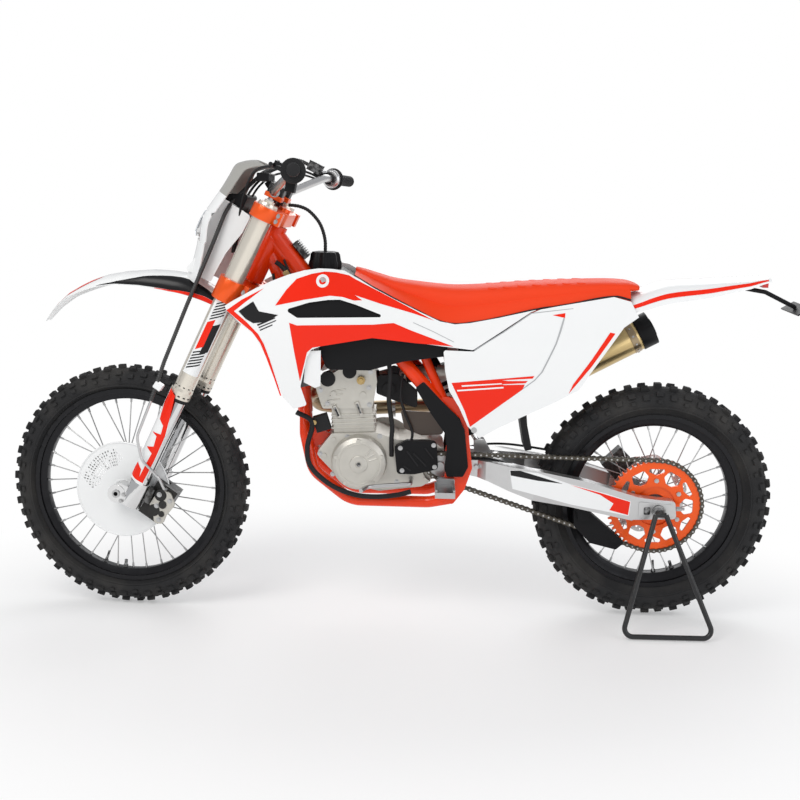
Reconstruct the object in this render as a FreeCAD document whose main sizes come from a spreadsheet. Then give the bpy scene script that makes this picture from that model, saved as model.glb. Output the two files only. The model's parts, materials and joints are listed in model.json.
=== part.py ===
"""Dirt bike parked on a triangular paddock stand, as a parametric assembly in millimetres.

Bike frame: X to the rear, Y to the bike's right, Z up, origin on the floor midway between the axles.
Fork frame: origin at the front axle's centre, X to the rear, Z up along the fork legs.
The finished bike is turned a little at the steering, leaned to its left and set down on the floor.
"""
import FreeCAD, Part
import math
import os
import Sketcher

Vec = FreeCAD.Vector
Rot = FreeCAD.Rotation
Place = FreeCAD.Placement

SIZES = [
    # stance of the whole bike
    ("wheelbase", 1490), ("rake", 25), ("lean", 5.17), ("steer_rest", 6.8),
    ("axle_lead", 44), ("clamp_offset", 24), ("fork_spread", 105),
    # front wheel
    ("front_tyre_outer", 348), ("front_tyre_half", 43), ("front_flange", 280), ("front_bed", 250),
    ("front_rim_half", 25), ("front_axle_radius", 11), ("front_disc_outer", 130), ("front_disc_y", -62),
    # rear wheel
    ("rear_tyre_outer", 340), ("rear_tyre_half", 54), ("rear_flange", 254), ("rear_bed", 218),
    ("rear_rim_half", 31), ("rear_axle_radius", 12.5), ("rear_disc_outer", 118), ("rear_disc_y", 62),
    # what both wheels share
    ("tyre_wall", 9), ("lug_height", 12), ("rim_wall", 3), ("disc_thick", 4), ("axle_gap", 0.05),
    ("axle_bore", 6), ("spoke_radius", 1.9), ("seat_gap", 0.25), ("front_spokes", 36),
    ("rear_spokes", 32), ("front_rows", 30), ("rear_rows", 28), ("knob_share", 0.52),
    # chain drive
    ("chain_pitch", 15.875), ("sprocket_teeth", 52), ("pinion_teeth", 14), ("chain_y", -66),
    ("chain_half_height", 7.3), ("pinion_x", 139), ("pinion_z", 442), ("sprocket_thick", 6),
    ("chain_plate", 1.8), ("chain_inner", 9.6), ("roller_radius", 4.6),
    # fork
    ("fork_outer", 27.5), ("fork_inner", 24), ("fork_bottom", 324), ("fork_top", 908),
    ("lower_clamp_z", 652), ("lower_clamp_high", 62), ("upper_clamp_z", 880), ("upper_clamp_high", 36),
    ("head_radius", 29), ("stem_radius", 14),
    # handlebar
    ("bar_radius", 11.1), ("bar_middle_radius", 14), ("grip_radius", 16), ("bar_z", 938),
    # frame and engine
    ("down_tube_radius", 21), ("cradle_radius", 16), ("spar_radius", 19), ("pivot_x", 202),
    ("pivot_z", 446), ("pivot_radius", 10), ("crank_x", -86), ("crank_z", 451),
    # seat, panels and tail
    ("seat_half", 82), ("panel_wall", 3), ("tank_lobe", 46),
    ("panel_y", 128),
    # paddock stand
    ("stand_rod", 7), ("stand_out", 264), ("stand_half_base", 125), ("stand_back", 18),
]

doc = FreeCAD.newDocument("DirtBike")
sheet = doc.addObject("Spreadsheet::Sheet", "Sizes")


class Size:
    """A length or angle that keeps the sheet formula it comes from."""

    def __init__(self, value, text):
        self.value = value
        self.text = text

    def __add__(self, other):
        other = sized(other)
        return Size(self.value + other.value, f"({self.text} + {other.text})")

    def __radd__(self, other):
        return sized(other) + self

    def __sub__(self, other):
        other = sized(other)
        return Size(self.value - other.value, f"({self.text} - {other.text})")

    def __rsub__(self, other):
        return sized(other) - self

    def __mul__(self, other):
        other = sized(other)
        return Size(self.value * other.value, f"({self.text} * {other.text})")

    def __rmul__(self, other):
        return sized(other) * self

    def __truediv__(self, other):
        other = sized(other)
        return Size(self.value / other.value, f"({self.text} / {other.text})")

    def __neg__(self):
        return Size(-self.value, f"(0 - {self.text})")

    def __float__(self):
        return float(self.value)


class Sheet:
    """The driving sizes, read by name."""


def sized(number):
    if isinstance(number, Size):
        return number
    return Size(float(number), repr(float(number)))


S = Sheet()
for row, (alias, number) in enumerate(SIZES, start=1):
    sheet.set(f"A{row}", alias)
    sheet.set(f"B{row}", str(number))
    sheet.setAlias(f"B{row}", alias)
    setattr(S, alias, Size(float(number), f"Sizes.{alias}"))
doc.recompute()

NODES = {}


def bind(thing, name, size):
    """Set a property and tie it to the sheet where its size comes from there."""
    size = sized(size)
    setattr(thing, name, size.value)
    if "Sizes." in size.text:
        thing.setExpression(name, size.text)


def put(thing, base, rotation=None):
    """Place an object at a point whose coordinates may come from the sheet."""
    coords = [sized(c) for c in base]
    thing.Placement = Place(Vec(*[c.value for c in coords]), rotation or Rot())
    for axis, coord in zip("xyz", coords):
        if "Sizes." in coord.text:
            thing.setExpression(f"Placement.Base.{axis}", coord.text)
    return thing


def turned(direction):
    """The rotation that takes Z to a direction."""
    return Rot(Vec(0, 0, 1), Vec(*direction))


ALONG_Y = turned((0, 1, 0))


def part_object(kind, name):
    return doc.addObject(f"Part::{kind}", name)


def cylinder(radius, height, base, direction=(0, 0, 1), name="round"):
    made = part_object("Cylinder", name)
    bind(made, "Radius", radius)
    bind(made, "Height", height)
    return put(made, base, turned(direction))


def rod(radius, start, end, name="rod"):
    """A round bar between two points."""
    first = Vec(*[float(c) for c in start])
    last = Vec(*[float(c) for c in end])
    made = part_object("Cylinder", name)
    bind(made, "Radius", radius)
    made.Height = (last - first).Length
    return put(made, start, turned(tuple(last - first)))


def cross_rod(radius, x, z, y_from, y_to, name="cross"):
    """A round bar across the bike."""
    made = part_object("Cylinder", name)
    bind(made, "Radius", radius)
    bind(made, "Height", sized(y_to) - y_from)
    return put(made, (x, y_from, z), ALONG_Y)


def box(length, width, height, centre, rotation=None, name="block"):
    made = part_object("Box", name)
    bind(made, "Length", length)
    bind(made, "Width", width)
    bind(made, "Height", height)
    rotation = rotation or Rot()
    half = Vec(float(length) / 2, float(width) / 2, float(height) / 2)
    made.Placement = Place(Vec(*[float(c) for c in centre]) - rotation.multVec(half), rotation)
    return made


def rounded_wire(points, closed):
    """Straight runs joined by arcs; a point is (x, y, z) or (x, y, z, radius)."""
    spots = [Vec(float(p[0]), float(p[1]), float(p[2])) for p in points]
    radii = [float(p[3]) if len(p) > 3 else 0.0 for p in points]
    count = len(spots)
    starts, ends, arcs = [], [], []
    for i, spot in enumerate(spots):
        if radii[i] == 0 or (not closed and i in (0, count - 1)):
            starts.append(spot)
            ends.append(spot)
            arcs.append(None)
            continue
        back = (spots[i - 1] - spot).normalize()
        ahead = (spots[(i + 1) % count] - spot).normalize()
        half = back.getAngle(ahead) / 2
        reach = radii[i] / math.tan(half)
        middle = (back + ahead).normalize() * (radii[i] / math.sin(half) - radii[i])
        starts.append(spot + back * reach)
        ends.append(spot + ahead * reach)
        arcs.append(spot + middle)
    edges = []
    for i in range(count if closed else count - 1):
        following = (i + 1) % count
        if (starts[following] - ends[i]).Length > 1e-6:
            edges.append(Part.LineSegment(ends[i], starts[following]).toShape())
        if arcs[following] is not None:
            arc = Part.Arc(starts[following], arcs[following], ends[following])
            edges.append(arc.toShape())
    return Part.Wire(Part.__sortEdges__(edges))


def wire_object(wire, name):
    made = part_object("Feature", name)
    made.Shape = wire
    return made


def tube(radius, points, name="tube"):
    """A round bar swept along straight runs and arcs."""
    path = wire_object(rounded_wire(points, False), f"{name}_path")
    first = Vec(*[float(c) for c in points[0][:3]])
    ahead = Vec(*[float(c) for c in points[1][:3]]) - first
    ring = part_object("Circle", f"{name}_ring")
    bind(ring, "Radius", radius)
    ring.Placement = Place(first, turned(tuple(ahead)))
    doc.recompute([path, ring])
    made = part_object("Sweep", name)
    made.Sections = [ring]
    made.Spine = (path, [f"Edge{i + 1}" for i in range(len(path.Shape.Edges))])
    made.Solid = True
    made.Frenet = False
    made.Transition = "Round corner"
    return made


def outline_body(name, outline, y_from, y_to):
    """A plate cut to an outline seen from the side, between two planes across the bike.

    An outline point is (x, z) or (x, z, corner radius).
    """
    body = doc.addObject("PartDesign::Body", name)
    sketch = body.newObject("Sketcher::SketchObject", f"{name}_outline")
    plane = [f for f in body.Origin.OriginFeatures if f.Role == "XZ_Plane"][0]
    sketch.AttachmentSupport = (plane, [""])
    sketch.MapMode = "FlatFace"
    sketch.AttachmentOffset = Place(Vec(0, 0, -float(y_to)), Rot())
    if "Sizes." in sized(y_to).text:
        sketch.setExpression("AttachmentOffset.Base.z", (-sized(y_to)).text)
    points = [(p[0], p[1], 0, p[2] if len(p) > 2 else 0) for p in outline]
    for edge in rounded_wire(points, True).Edges:
        curve = edge.Curve
        if isinstance(curve, Part.Circle):
            low, high = edge.ParameterRange
            sketch.addGeometry(Part.ArcOfCircle(curve, low, high))
        else:
            ends = edge.Vertexes
            sketch.addGeometry(Part.LineSegment(ends[0].Point, ends[1].Point))
    pad = body.newObject("PartDesign::Pad", f"{name}_pad")
    pad.Profile = sketch
    bind(pad, "Length", sized(y_to) - y_from)
    return body


def spun(name, profile, x=0, z=0):
    """A solid turned about an axle that runs across the bike; profile points are (radius, y)."""
    body = doc.addObject("PartDesign::Body", name)
    sketch = body.newObject("Sketcher::SketchObject", f"{name}_profile")
    planes = {f.Role: f for f in body.Origin.OriginFeatures}
    sketch.AttachmentSupport = (planes["XY_Plane"], [""])
    sketch.MapMode = "FlatFace"
    sizes = [(sized(r), sized(y)) for r, y in profile]
    spots = [Vec(r.value, y.value, 0) for r, y in sizes]
    for i, spot in enumerate(spots):
        sketch.addGeometry(Part.LineSegment(spot, spots[(i + 1) % len(spots)]))
    for i in range(len(spots)):
        sketch.addConstraint(Sketcher.Constraint("Coincident", i, 2, (i + 1) % len(spots), 1))
    for i, pair in enumerate(sizes):
        for kind, size in zip(("DistanceX", "DistanceY"), pair):
            at = sketch.addConstraint(Sketcher.Constraint(kind, -1, 1, i, 1, size.value))
            if "Sizes." in size.text:
                sketch.setExpression(f"Constraints[{at}]", size.text)
    turn = body.newObject("PartDesign::Revolution", f"{name}_turn")
    turn.Profile = sketch
    turn.ReferenceAxis = (planes["Y_Axis"], [""])
    turn.Angle = 360
    return put(body, (x, 0, z))


def closed_solid(faces):
    """One solid from polygons that meet edge to edge."""
    skin = Part.Shell(faces)
    solid = Part.Solid(skin)
    if solid.Volume < 0:
        solid.reverse()
    return solid


def polygon(*corners):
    return Part.Face(Part.makePolygon(list(corners) + [corners[0]]))


def faceted(name, rings):
    """A solid with flat facets between rings of equally many corners, closed by its first and last ring.

    Each facet's diagonal starts at its lower corner, so both faces of a thin wall bend alike.
    """
    faces = [polygon(*rings[0]), polygon(*rings[-1])]
    for near, far in zip(rings, rings[1:]):
        for i in range(len(near)):
            j = (i + 1) % len(near)
            if (round(near[i].z, 3), round(near[i].y, 3)) > (round(near[j].z, 3), round(near[j].y, 3)):
                i, j = j, i
            faces.append(polygon(near[i], near[j], far[j]))
            faces.append(polygon(near[i], far[j], far[i]))
    made = part_object("Feature", name)
    made.Shape = closed_solid(faces)
    return made


def fuse(name, *things):
    made = part_object("MultiFuse", name)
    made.Shapes = list(things)
    return made


def fuse_in_turn(name, first, *others):
    """Join pieces one after the other, which crossing tubes need."""
    whole = first
    for other in others:
        joined = part_object("Fuse", name)
        joined.Base = whole
        joined.Tool = other
        whole = joined
    return whole


def cut(name, base, tool):
    made = part_object("Cut", name)
    made.Base = base
    made.Tool = tool
    return made


def common(name, *things):
    made = part_object("MultiCommon", name)
    made.Shapes = list(things)
    return made


def several(name, *things):
    """Solids of one node that do not touch."""
    made = part_object("Compound", name)
    made.Links = list(things)
    return made


def node(label, thing, carrier):
    """Register a finished piece with the body that carries it."""
    thing.Label = label
    NODES[label] = (thing, carrier)
    return thing


REAR_X = S.wheelbase / 2
FRONT_X = -S.wheelbase / 2
STEER_X = S.axle_lead + S.clamp_offset
PITCH_RADIUS = float(S.chain_pitch) / 2 / math.sin(math.pi / float(S.sprocket_teeth))
TOOTH_TIP = 4.2
PINION_RADIUS = float(S.chain_pitch) / 2 / math.sin(math.pi / float(S.pinion_teeth))


def at_fork(x, y, z):
    """A point of the fork frame in the bike frame."""
    rake = math.radians(float(S.rake))
    x, z = float(x), float(z)
    across = x * math.cos(rake) + z * math.sin(rake)
    up = z * math.cos(rake) - x * math.sin(rake)
    return (float(FRONT_X) + across, float(y), float(S.front_tyre_outer) + up)


# Wheels


def tyre(name, outer, half, flange, wall, lug, rim_half, rows):
    """Knobbly tyre with flat facets: a carcass that stands on the rim, and knobs that change from row to row.

    Between two knob rows the carcass lies bare. Its side walls have a flat band, below which one facet
    spans a whole row.
    """
    outer, half, flange, wall, lug, rim_half = [float(s) for s in (outer, half, flange, wall, lug, rim_half)]
    rows = int(float(rows))
    pitch = 2 * math.pi / rows
    round_out = 1 / math.cos(pitch / 2)
    crown = outer - lug
    side = half - 5
    band_top, band_low = outer - 28, flange + 0.45 * (outer - flange)
    tread = [(band_top, -side), (crown - 9, -0.78 * side), (crown, -0.34 * side),
             (crown, 0.34 * side), (crown - 9, 0.78 * side), (band_top, side)]
    tops = [(band_top + 0.9 * lug, -half), (crown - 9 + lug, -0.72 * side), (outer, -0.3 * side),
            (outer, 0.3 * side), (crown - 9 + lug, 0.72 * side), (band_top + 0.9 * lug, half)]
    seat = (flange - 9) * round_out
    inside = [(band_low, -side), ((flange + 3) * round_out, -(rim_half - 4.5)), (seat, -(rim_half - 5)),
              (seat, -(rim_half - 13)), (flange + 0.5 * (outer - flange), -(side - wall)),
              (crown - wall, -0.45 * side), (crown - wall, 0.45 * side),
              (flange + 0.5 * (outer - flange), side - wall), (seat, rim_half - 13), (seat, rim_half - 5),
              ((flange + 3) * round_out, rim_half - 4.5), (band_low, side)]

    def at(spot, angle):
        return Vec(spot[0] * math.cos(angle), spot[1], spot[0] * math.sin(angle))

    def strip(low, high, start, end):
        return polygon(at(low, start), at(high, start), at(high, end), at(low, end))

    faces = []
    for row in range(rows):
        middle = row * pitch - math.pi / 2
        start = middle - float(S.knob_share) * pitch / 2
        end = middle + float(S.knob_share) * pitch / 2
        following = start + pitch
        raised = (0, 2, 4) if row % 2 else (1, 3)
        for i in range(5):
            low, high = tread[i], tread[i + 1]
            faces.append(strip(low, high, end, following))
            if i not in raised:
                faces.append(strip(low, high, start, end))
                continue
            corners = [low, tops[i], tops[i + 1], high]
            for a, b in zip(corners, corners[1:]):
                faces.append(strip(a, b, start, end))
            for angle in (start, end):
                faces.append(polygon(*[at(c, angle) for c in corners]))
        for edge, foot in ((tread[0], inside[0]), (tread[5], inside[-1])):
            faces.append(polygon(at(edge, start), at(edge, end), at(edge, following), at(foot, following),
                                 at(foot, start)))
        for low, high in zip(inside, inside[1:]):
            faces.append(strip(low, high, start, following))
    made = part_object("Feature", name)
    made.Shape = closed_solid(faces)
    return made


def rim(name, flange, bed, half, wall, gap):
    """Rim with two flanges, bead seats and a dropped spoke bed."""
    seat = flange - 9 - gap
    profile = [
        (flange, -half), (flange, -(half - wall)), (seat, -(half - wall)), (seat, -(half - 13)),
        (bed + wall, -0.36 * half), (bed + wall, 0.36 * half), (seat, half - 13),
        (seat, half - wall), (flange, half - wall), (flange, half), (seat - wall, half),
        (seat - wall, half - 10), (bed, 0.36 * half + 3), (bed, -(0.36 * half + 3)),
        (seat - wall, -(half - 10)), (seat - wall, -half),
    ]
    return spun(name, profile)


def spoke_set(count, hub_radius, hub_y, bed, radius, gap):
    """Crossed spokes as one compound of six-sided bars, from the hub flanges to the rim bed."""
    bars = []
    for i in range(count):
        side = 1 if i % 2 else -1
        lead = 1 if (i // 2) % 2 else -1
        at_rim = math.radians((i + 0.5) * 360 / count)
        at_hub = at_rim + lead * math.radians(62)
        foot = Vec(hub_radius * math.cos(at_hub), side * hub_y, hub_radius * math.sin(at_hub))
        head = Vec(bed * math.cos(at_rim), side * 5, bed * math.sin(at_rim))
        ahead = (head - foot).normalize()
        start = foot - ahead * 2
        length = (head - start).Length - gap - radius / 2
        turn = Rot(Vec(0, 0, 1), ahead)
        corners = []
        for k in range(7):
            angle = math.radians(60 * k)
            corners.append(start + turn.multVec(Vec(math.cos(angle), math.sin(angle), 0) * radius))
        bars.append(Part.Face(Part.makePolygon(corners)).extrude(ahead * length))
    return bars


def spoked_hub(name, hub_profile, count, hub_radius, hub_y, bed):
    """Hub barrel with its spokes."""
    barrel = spun(f"{name}_barrel", hub_profile)
    doc.recompute()
    bars = spoke_set(count, hub_radius, hub_y, float(bed), float(S.spoke_radius), float(S.seat_gap))
    made = part_object("Feature", name)
    made.Shape = barrel.Shape.fuse(bars)
    return made


def disc(name, outer, inner, thick, y, mount_radius, arms):
    """Brake disc: a drilled ring on a spider that bolts to the hub."""
    ring = spun(f"{name}_ring", [(inner, y - thick / 2), (outer, y - thick / 2),
                                 (outer, y + thick / 2), (inner, y + thick / 2)])
    centre = spun(f"{name}_centre", [(mount_radius - 9, y - thick / 2), (mount_radius + 8, y - thick / 2),
                                     (mount_radius + 8, y + thick / 2), (mount_radius - 9, y + thick / 2)])
    bars = []
    for i in range(arms):
        angle = i * 360 / arms
        length = float(inner) - float(mount_radius) + 2
        middle = (float(inner) + float(mount_radius)) / 2
        turn = Rot(Vec(0, 1, 0), angle)
        spot = turn.multVec(Vec(middle, 0, 0))
        bars.append(box(length, thick, 14, (spot.x, float(y), spot.z), turn, f"{name}_arm"))
    return drilled(name, fuse(f"{name}_whole", ring, centre, *bars), outer, inner, y)


def drilled(name, plate, outer, inner, y):
    """Six-sided holes through a disc's ring, in pairs that step outwards."""
    holes = []
    count = 30
    for i in range(count):
        turn = Rot(Vec(0, 1, 0), i * 360 / count)
        radius = float(inner) + (0.32 if i % 2 else 0.68) * (float(outer) - float(inner))
        spot = turn.multVec(Vec(radius, 0, 0))
        corners = []
        for k in range(6):
            angle = math.radians(60 * k)
            corners.append(spot + Vec(math.cos(angle), 0, math.sin(angle)) * 3.4 + Vec(0, float(y) - 10, 0))
        holes.append(polygon(*corners).extrude(Vec(0, 20, 0)))
    pattern = part_object("Feature", f"{name}_holes")
    pattern.Shape = Part.Compound(holes)
    return cut(name, plate, pattern)


def front_wheel():
    hole = S.front_axle_radius + S.axle_gap
    node("front_tyre", tyre("front_tyre_solid", S.front_tyre_outer, S.front_tyre_half, S.front_flange,
                            S.tyre_wall, S.lug_height, S.front_rim_half, S.front_rows), "front_wheel")
    node("front_rim", rim("front_rim_solid", S.front_flange, S.front_bed, S.front_rim_half,
                          S.rim_wall, S.seat_gap), "front_wheel")
    face = -S.front_disc_y - S.disc_thick / 2
    profile = [(hole, -face), (40, -face), (40, -face + 8), (26, -face + 14), (24, -36), (33, -33),
               (33, -28), (21, -22), (21, 22), (33, 28), (33, 33), (24, 36), (22, 58), (hole, 58)]
    node("front_hub", spoked_hub("front_hub_solid", profile, int(float(S.front_spokes)), 28, 30.5,
                                 S.front_bed), "front_wheel")
    node("front_disc", disc("front_disc_solid", S.front_disc_outer, S.front_disc_outer - 32,
                            S.disc_thick, S.front_disc_y, 34, 5), "front_wheel")


def rear_wheel():
    hole = S.rear_axle_radius + S.axle_gap
    node("rear_tyre", tyre("rear_tyre_solid", S.rear_tyre_outer, S.rear_tyre_half, S.rear_flange,
                           S.tyre_wall, S.lug_height, S.rear_rim_half, S.rear_rows), "rear_wheel")
    node("rear_rim", rim("rear_rim_solid", S.rear_flange, S.rear_bed, S.rear_rim_half,
                         S.rim_wall, S.seat_gap), "rear_wheel")
    left = S.chain_y + S.sprocket_thick / 2
    right = S.rear_disc_y - S.disc_thick / 2
    profile = [(hole, left), (62, left), (62, left + 6), (40, left + 12), (44, -34), (44, -29), (32, -24),
               (32, 24), (44, 29), (44, 34), (30, 38), (36, right - 4), (36, right), (hole, right)]
    node("rear_hub", spoked_hub("rear_hub_solid", profile, int(float(S.rear_spokes)), 39, 31.5,
                                S.rear_bed), "rear_wheel")
    node("rear_disc", disc("rear_disc_solid", S.rear_disc_outer, S.rear_disc_outer - 30,
                           S.disc_thick, S.rear_disc_y, 30, 5), "rear_wheel")
    rear_sprocket()


def sprocket_shape(teeth, pitch_radius, thick, hole, y):
    """Toothed ring: trapezoid teeth between round roots that the chain's rollers drop into."""
    root = pitch_radius - float(S.roller_radius) - 0.4
    tip = pitch_radius + TOOTH_TIP
    corners = []
    step = 2 * math.pi / teeth
    for i in range(teeth):
        middle = (i + 0.5) * step
        for share, radius in ((-0.26, root), (-0.10, tip), (0.10, tip), (0.26, root)):
            angle = middle + share * step
            corners.append(Vec(radius * math.cos(angle), y - thick / 2, radius * math.sin(angle)))
    corners.append(corners[0])
    return Part.Face(Part.makePolygon(corners)).extrude(Vec(0, thick, 0))


def rear_sprocket():
    thick, y = float(S.sprocket_thick), float(S.chain_y)
    teeth = int(float(S.sprocket_teeth))
    ring = sprocket_shape(teeth, PITCH_RADIUS, thick, 0, y)
    bore = Part.makeCylinder(52, thick * 3, Vec(0, y - thick * 1.5, 0), Vec(0, 1, 0))
    ring = ring.cut(bore)
    windows = []
    for i in range(6):
        turn = Rot(Vec(0, 1, 0), 60 * i + 30)
        corners = [(88, -26), (112, -34), (112, 34), (88, 26)]
        wire = Part.makePolygon([turn.multVec(Vec(a, y - thick, b)) for a, b in corners + corners[:1]])
        windows.append(Part.Face(wire).extrude(Vec(0, thick * 3, 0)))
    made = part_object("Feature", "rear_sprocket_solid")
    made.Shape = ring.cut(windows)
    node("rear_sprocket", made, "rear_wheel")


# Steering, in the fork frame


def along_fork(name, profile, x, y):
    """A round piece on a fork leg's axis; profile points are (radius, height)."""
    made = part_object("Feature", name)
    points = [Vec(float(r), 0, float(z)) for r, z in profile]
    face = Part.Face(Part.makePolygon(points + points[:1]))
    made.Shape = face.revolve(Vec(0, 0, 0), Vec(0, 0, 1), 360)
    return put(made, (x, y, 0))


def fork():
    tubes, legs = [], []
    for side in (-1, 1):
        y = side * S.fork_spread
        low, top = S.fork_bottom, S.fork_top
        bore = S.fork_inner + 0.3
        tubes.append(along_fork("outer_tube", [
            (bore, low), (S.fork_outer + 1.5, low), (S.fork_outer + 1.5, low + 22),
            (S.fork_outer, low + 30), (S.fork_outer, top - 6), (S.fork_outer - 2, top),
            (14, top), (14, top + 7), (0, top + 7), (0, top - 40), (bore, top - 60)], S.axle_lead, y))
        leg = cylinder(S.fork_inner, low + 40 - 30, (S.axle_lead, y, 30))
        foot = cylinder(S.fork_inner + 5, 74, (S.axle_lead, y, -16))
        clamp = cross_rod(25, 0, 0, y - 22, y + 22)
        bridge = box(S.axle_lead + 10, 40, 48, (float(S.axle_lead) / 2, float(y), 8))
        solid = fuse("leg", leg, foot, clamp, bridge)
        legs.append(cut("leg_bored", solid, cross_rod(S.front_axle_radius, 0, 0, y - 30, y + 30)))
    node("fork_tubes", several("fork_tubes_pair", *tubes), "steering")
    node("fork_legs", several("fork_legs_pair", *legs), "steering")


def front_axle():
    reach = S.fork_spread + 26
    shaft = cross_rod(S.front_axle_radius, 0, 0, -reach, reach)
    head = cross_rod(S.front_axle_radius + 5, 0, 0, reach - 3, reach + 3)
    left_spacer = cross_rod(S.front_axle_radius + 6, 0, 0, -(S.fork_spread - 22.3), -66.5)
    right_spacer = cross_rod(S.front_axle_radius + 6, 0, 0, 59, S.fork_spread - 22.3)
    solid = fuse("axle_shaft", shaft, head, left_spacer, right_spacer)
    bore = cross_rod(S.axle_bore, 0, 0, -reach - 10, reach + 10)
    node("front_axle", cut("front_axle_solid", solid, bore), "steering")


def clamp_plate(name, z, high, rounds):
    """Fork clamp: two split rings joined by a waisted bridge round the stem."""
    lead, back = float(S.axle_lead), float(STEER_X)
    spread = float(S.fork_spread)
    bridge_points = [
        (lead - 22, -spread, 0), (back - 36, -60, 0, 30), (back - 36, 60, 0, 30), (lead - 22, spread, 0),
        (lead + 30, spread, 0), (back + 26, 50, 0, 30), (back + 26, -50, 0, 30), (lead + 30, -spread, 0)]
    face = Part.Face(rounded_wire(bridge_points, True))
    bridge = part_object("Feature", f"{name}_bridge")
    bridge.Shape = face.extrude(Vec(0, 0, float(high)))
    put(bridge, (0, 0, z - high / 2))
    rings = []
    holes = []
    for side in (-1, 1):
        rings.append(cylinder(rounds, high, (S.axle_lead, side * S.fork_spread, z - high / 2)))
        rings.append(box(26, 20, high, (lead + 36, side * (spread - 4), float(z))))
        holes.append(cylinder(S.fork_outer + 0.2, high + 20,
                              (S.axle_lead, side * S.fork_spread, z - high / 2 - 10)))
        holes.append(box(40, 3, float(high) + 4, (lead + 44, side * (spread - 4), float(z))))
    return cut(name, fuse(f"{name}_solid", bridge, *rings), fuse(f"{name}_holes", *holes))


def triple_clamps():
    lower = clamp_plate("lower_clamp", S.lower_clamp_z, S.lower_clamp_high, S.fork_outer + 10)
    upper = clamp_plate("upper_clamp", S.upper_clamp_z, S.upper_clamp_high, S.fork_outer + 9)
    stem = cylinder(S.stem_radius, S.upper_clamp_z - S.lower_clamp_z, (STEER_X, 0, S.lower_clamp_z))
    nut = cylinder(17, 10, (STEER_X, 0, S.upper_clamp_z + S.upper_clamp_high / 2 - 1))
    node("triple_clamps", fuse("triple_clamps_solid", lower, upper, stem, nut), "steering")


def fork_guards():
    """Curved shields in front of the chrome legs, wrapped round their outer side."""
    shields = []
    inner = S.fork_outer + 1.8
    for side in (-1, 1):
        y = side * float(S.fork_spread)
        lead = float(S.axle_lead)
        shell = cut("guard_shell", cylinder(inner + S.panel_wall, 320, (S.axle_lead, side * S.fork_spread, 40)),
                    cylinder(inner, 340, (S.axle_lead, side * S.fork_spread, 30)))
        profile = [(-60, 66), (9, 66), (lead, 58), (lead + 16, 58), (lead + 18, 160), (lead + 15, 235),
                   (lead + 7, 265), (lead - 20, 313), (lead - 34, 351), (-60, 351)]
        low, high = sorted((y - side * 20, y + side * 60))
        shields.append(common("guard", shell, outline_body("guard_outline", profile, low, high)))
    node("fork_guards", several("fork_guards_pair", *shields), "steering")


def disc_cover():
    y = S.front_disc_y - S.disc_thick / 2 - 5
    cover = spun("disc_cover_shell", [(20, y - 3), (S.front_disc_outer + 6, y - 3),
                                      (S.front_disc_outer + 6, y), (20, y)])
    node("disc_cover", cover, "steering")


def front_caliper():
    """Two piston caliper that bridges the disc's rear edge."""
    y = float(S.front_disc_y)
    centre = (110, 22)
    block = box(66, 52, 108, (centre[0], y - 6, centre[1]), Rot(Vec(0, 1, 0), 8))
    slot = spun("caliper_slot", [(30, y - 10.3), (S.front_disc_outer + 8, y - 10.3),
                                 (S.front_disc_outer + 8, y + 7), (30, y + 7)])
    window = spun("caliper_window", [(0, y - 14), (S.front_disc_outer - 40, y - 14),
                                     (S.front_disc_outer - 40, y + 40), (0, y + 40)])
    pistons = [cross_rod(17, centre[0], centre[1] + dz, y - 40, y - 20) for dz in (-24, 24)]
    arm = box(18, 24, 44, (float(S.axle_lead) + float(S.fork_inner) + 14.5, -float(S.fork_spread) + 2, 34))
    solid = cut("caliper_cut", fuse("caliper_block", block, *pistons, arm), fuse("caliper_room", slot, window))
    node("front_caliper", solid, "steering")


def handlebar():
    z = S.bar_z
    bar = tube(S.bar_radius, [
        (128, -402, 1032), (91, -217, 1017.5, 50), (36, -86, 938, 40), (36, 86, 938, 40),
        (91, 217, 1017.5, 50), (128, 402, 1032)], "bar")
    middle = cross_rod(S.bar_middle_radius, 36, z, -62, 62)
    node("handlebar", fuse("handlebar_solid", bar, middle), "steering")


def bar_mounts():
    top = S.upper_clamp_z + S.upper_clamp_high / 2
    clamps = []
    for side in (-1, 1):
        post = cylinder(13, S.bar_z - top + 2, (36, side * 44, top))
        block = box(44, 26, 38, (36, side * 44, float(S.bar_z)))
        hole = cross_rod(S.bar_middle_radius + 0.1, 36, S.bar_z, side * 44 - 20, side * 44 + 20)
        clamps.append(cut("bar_clamp", fuse("bar_clamp_solid", post, block), hole))
    node("bar_mounts", several("bar_mounts_pair", *clamps), "steering")


def grips():
    pair = []
    for side in (-1, 1):
        outer = Vec(128.8, side * 406, 1032.3)
        inner = Vec(103, side * 277, 1022.2)
        ahead = (inner - outer).normalize()
        grip = rod(S.grip_radius, outer, inner)
        flange = rod(32, inner - ahead * 5, inner)
        bore_end = inner + ahead * 10
        bore = rod(S.bar_radius + 0.2, outer + ahead * 3.4, bore_end)
        pair.append(cut("grip", fuse("grip_solid", grip, flange), bore))
    node("grips", several("grips_pair", *pair), "steering")


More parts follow.
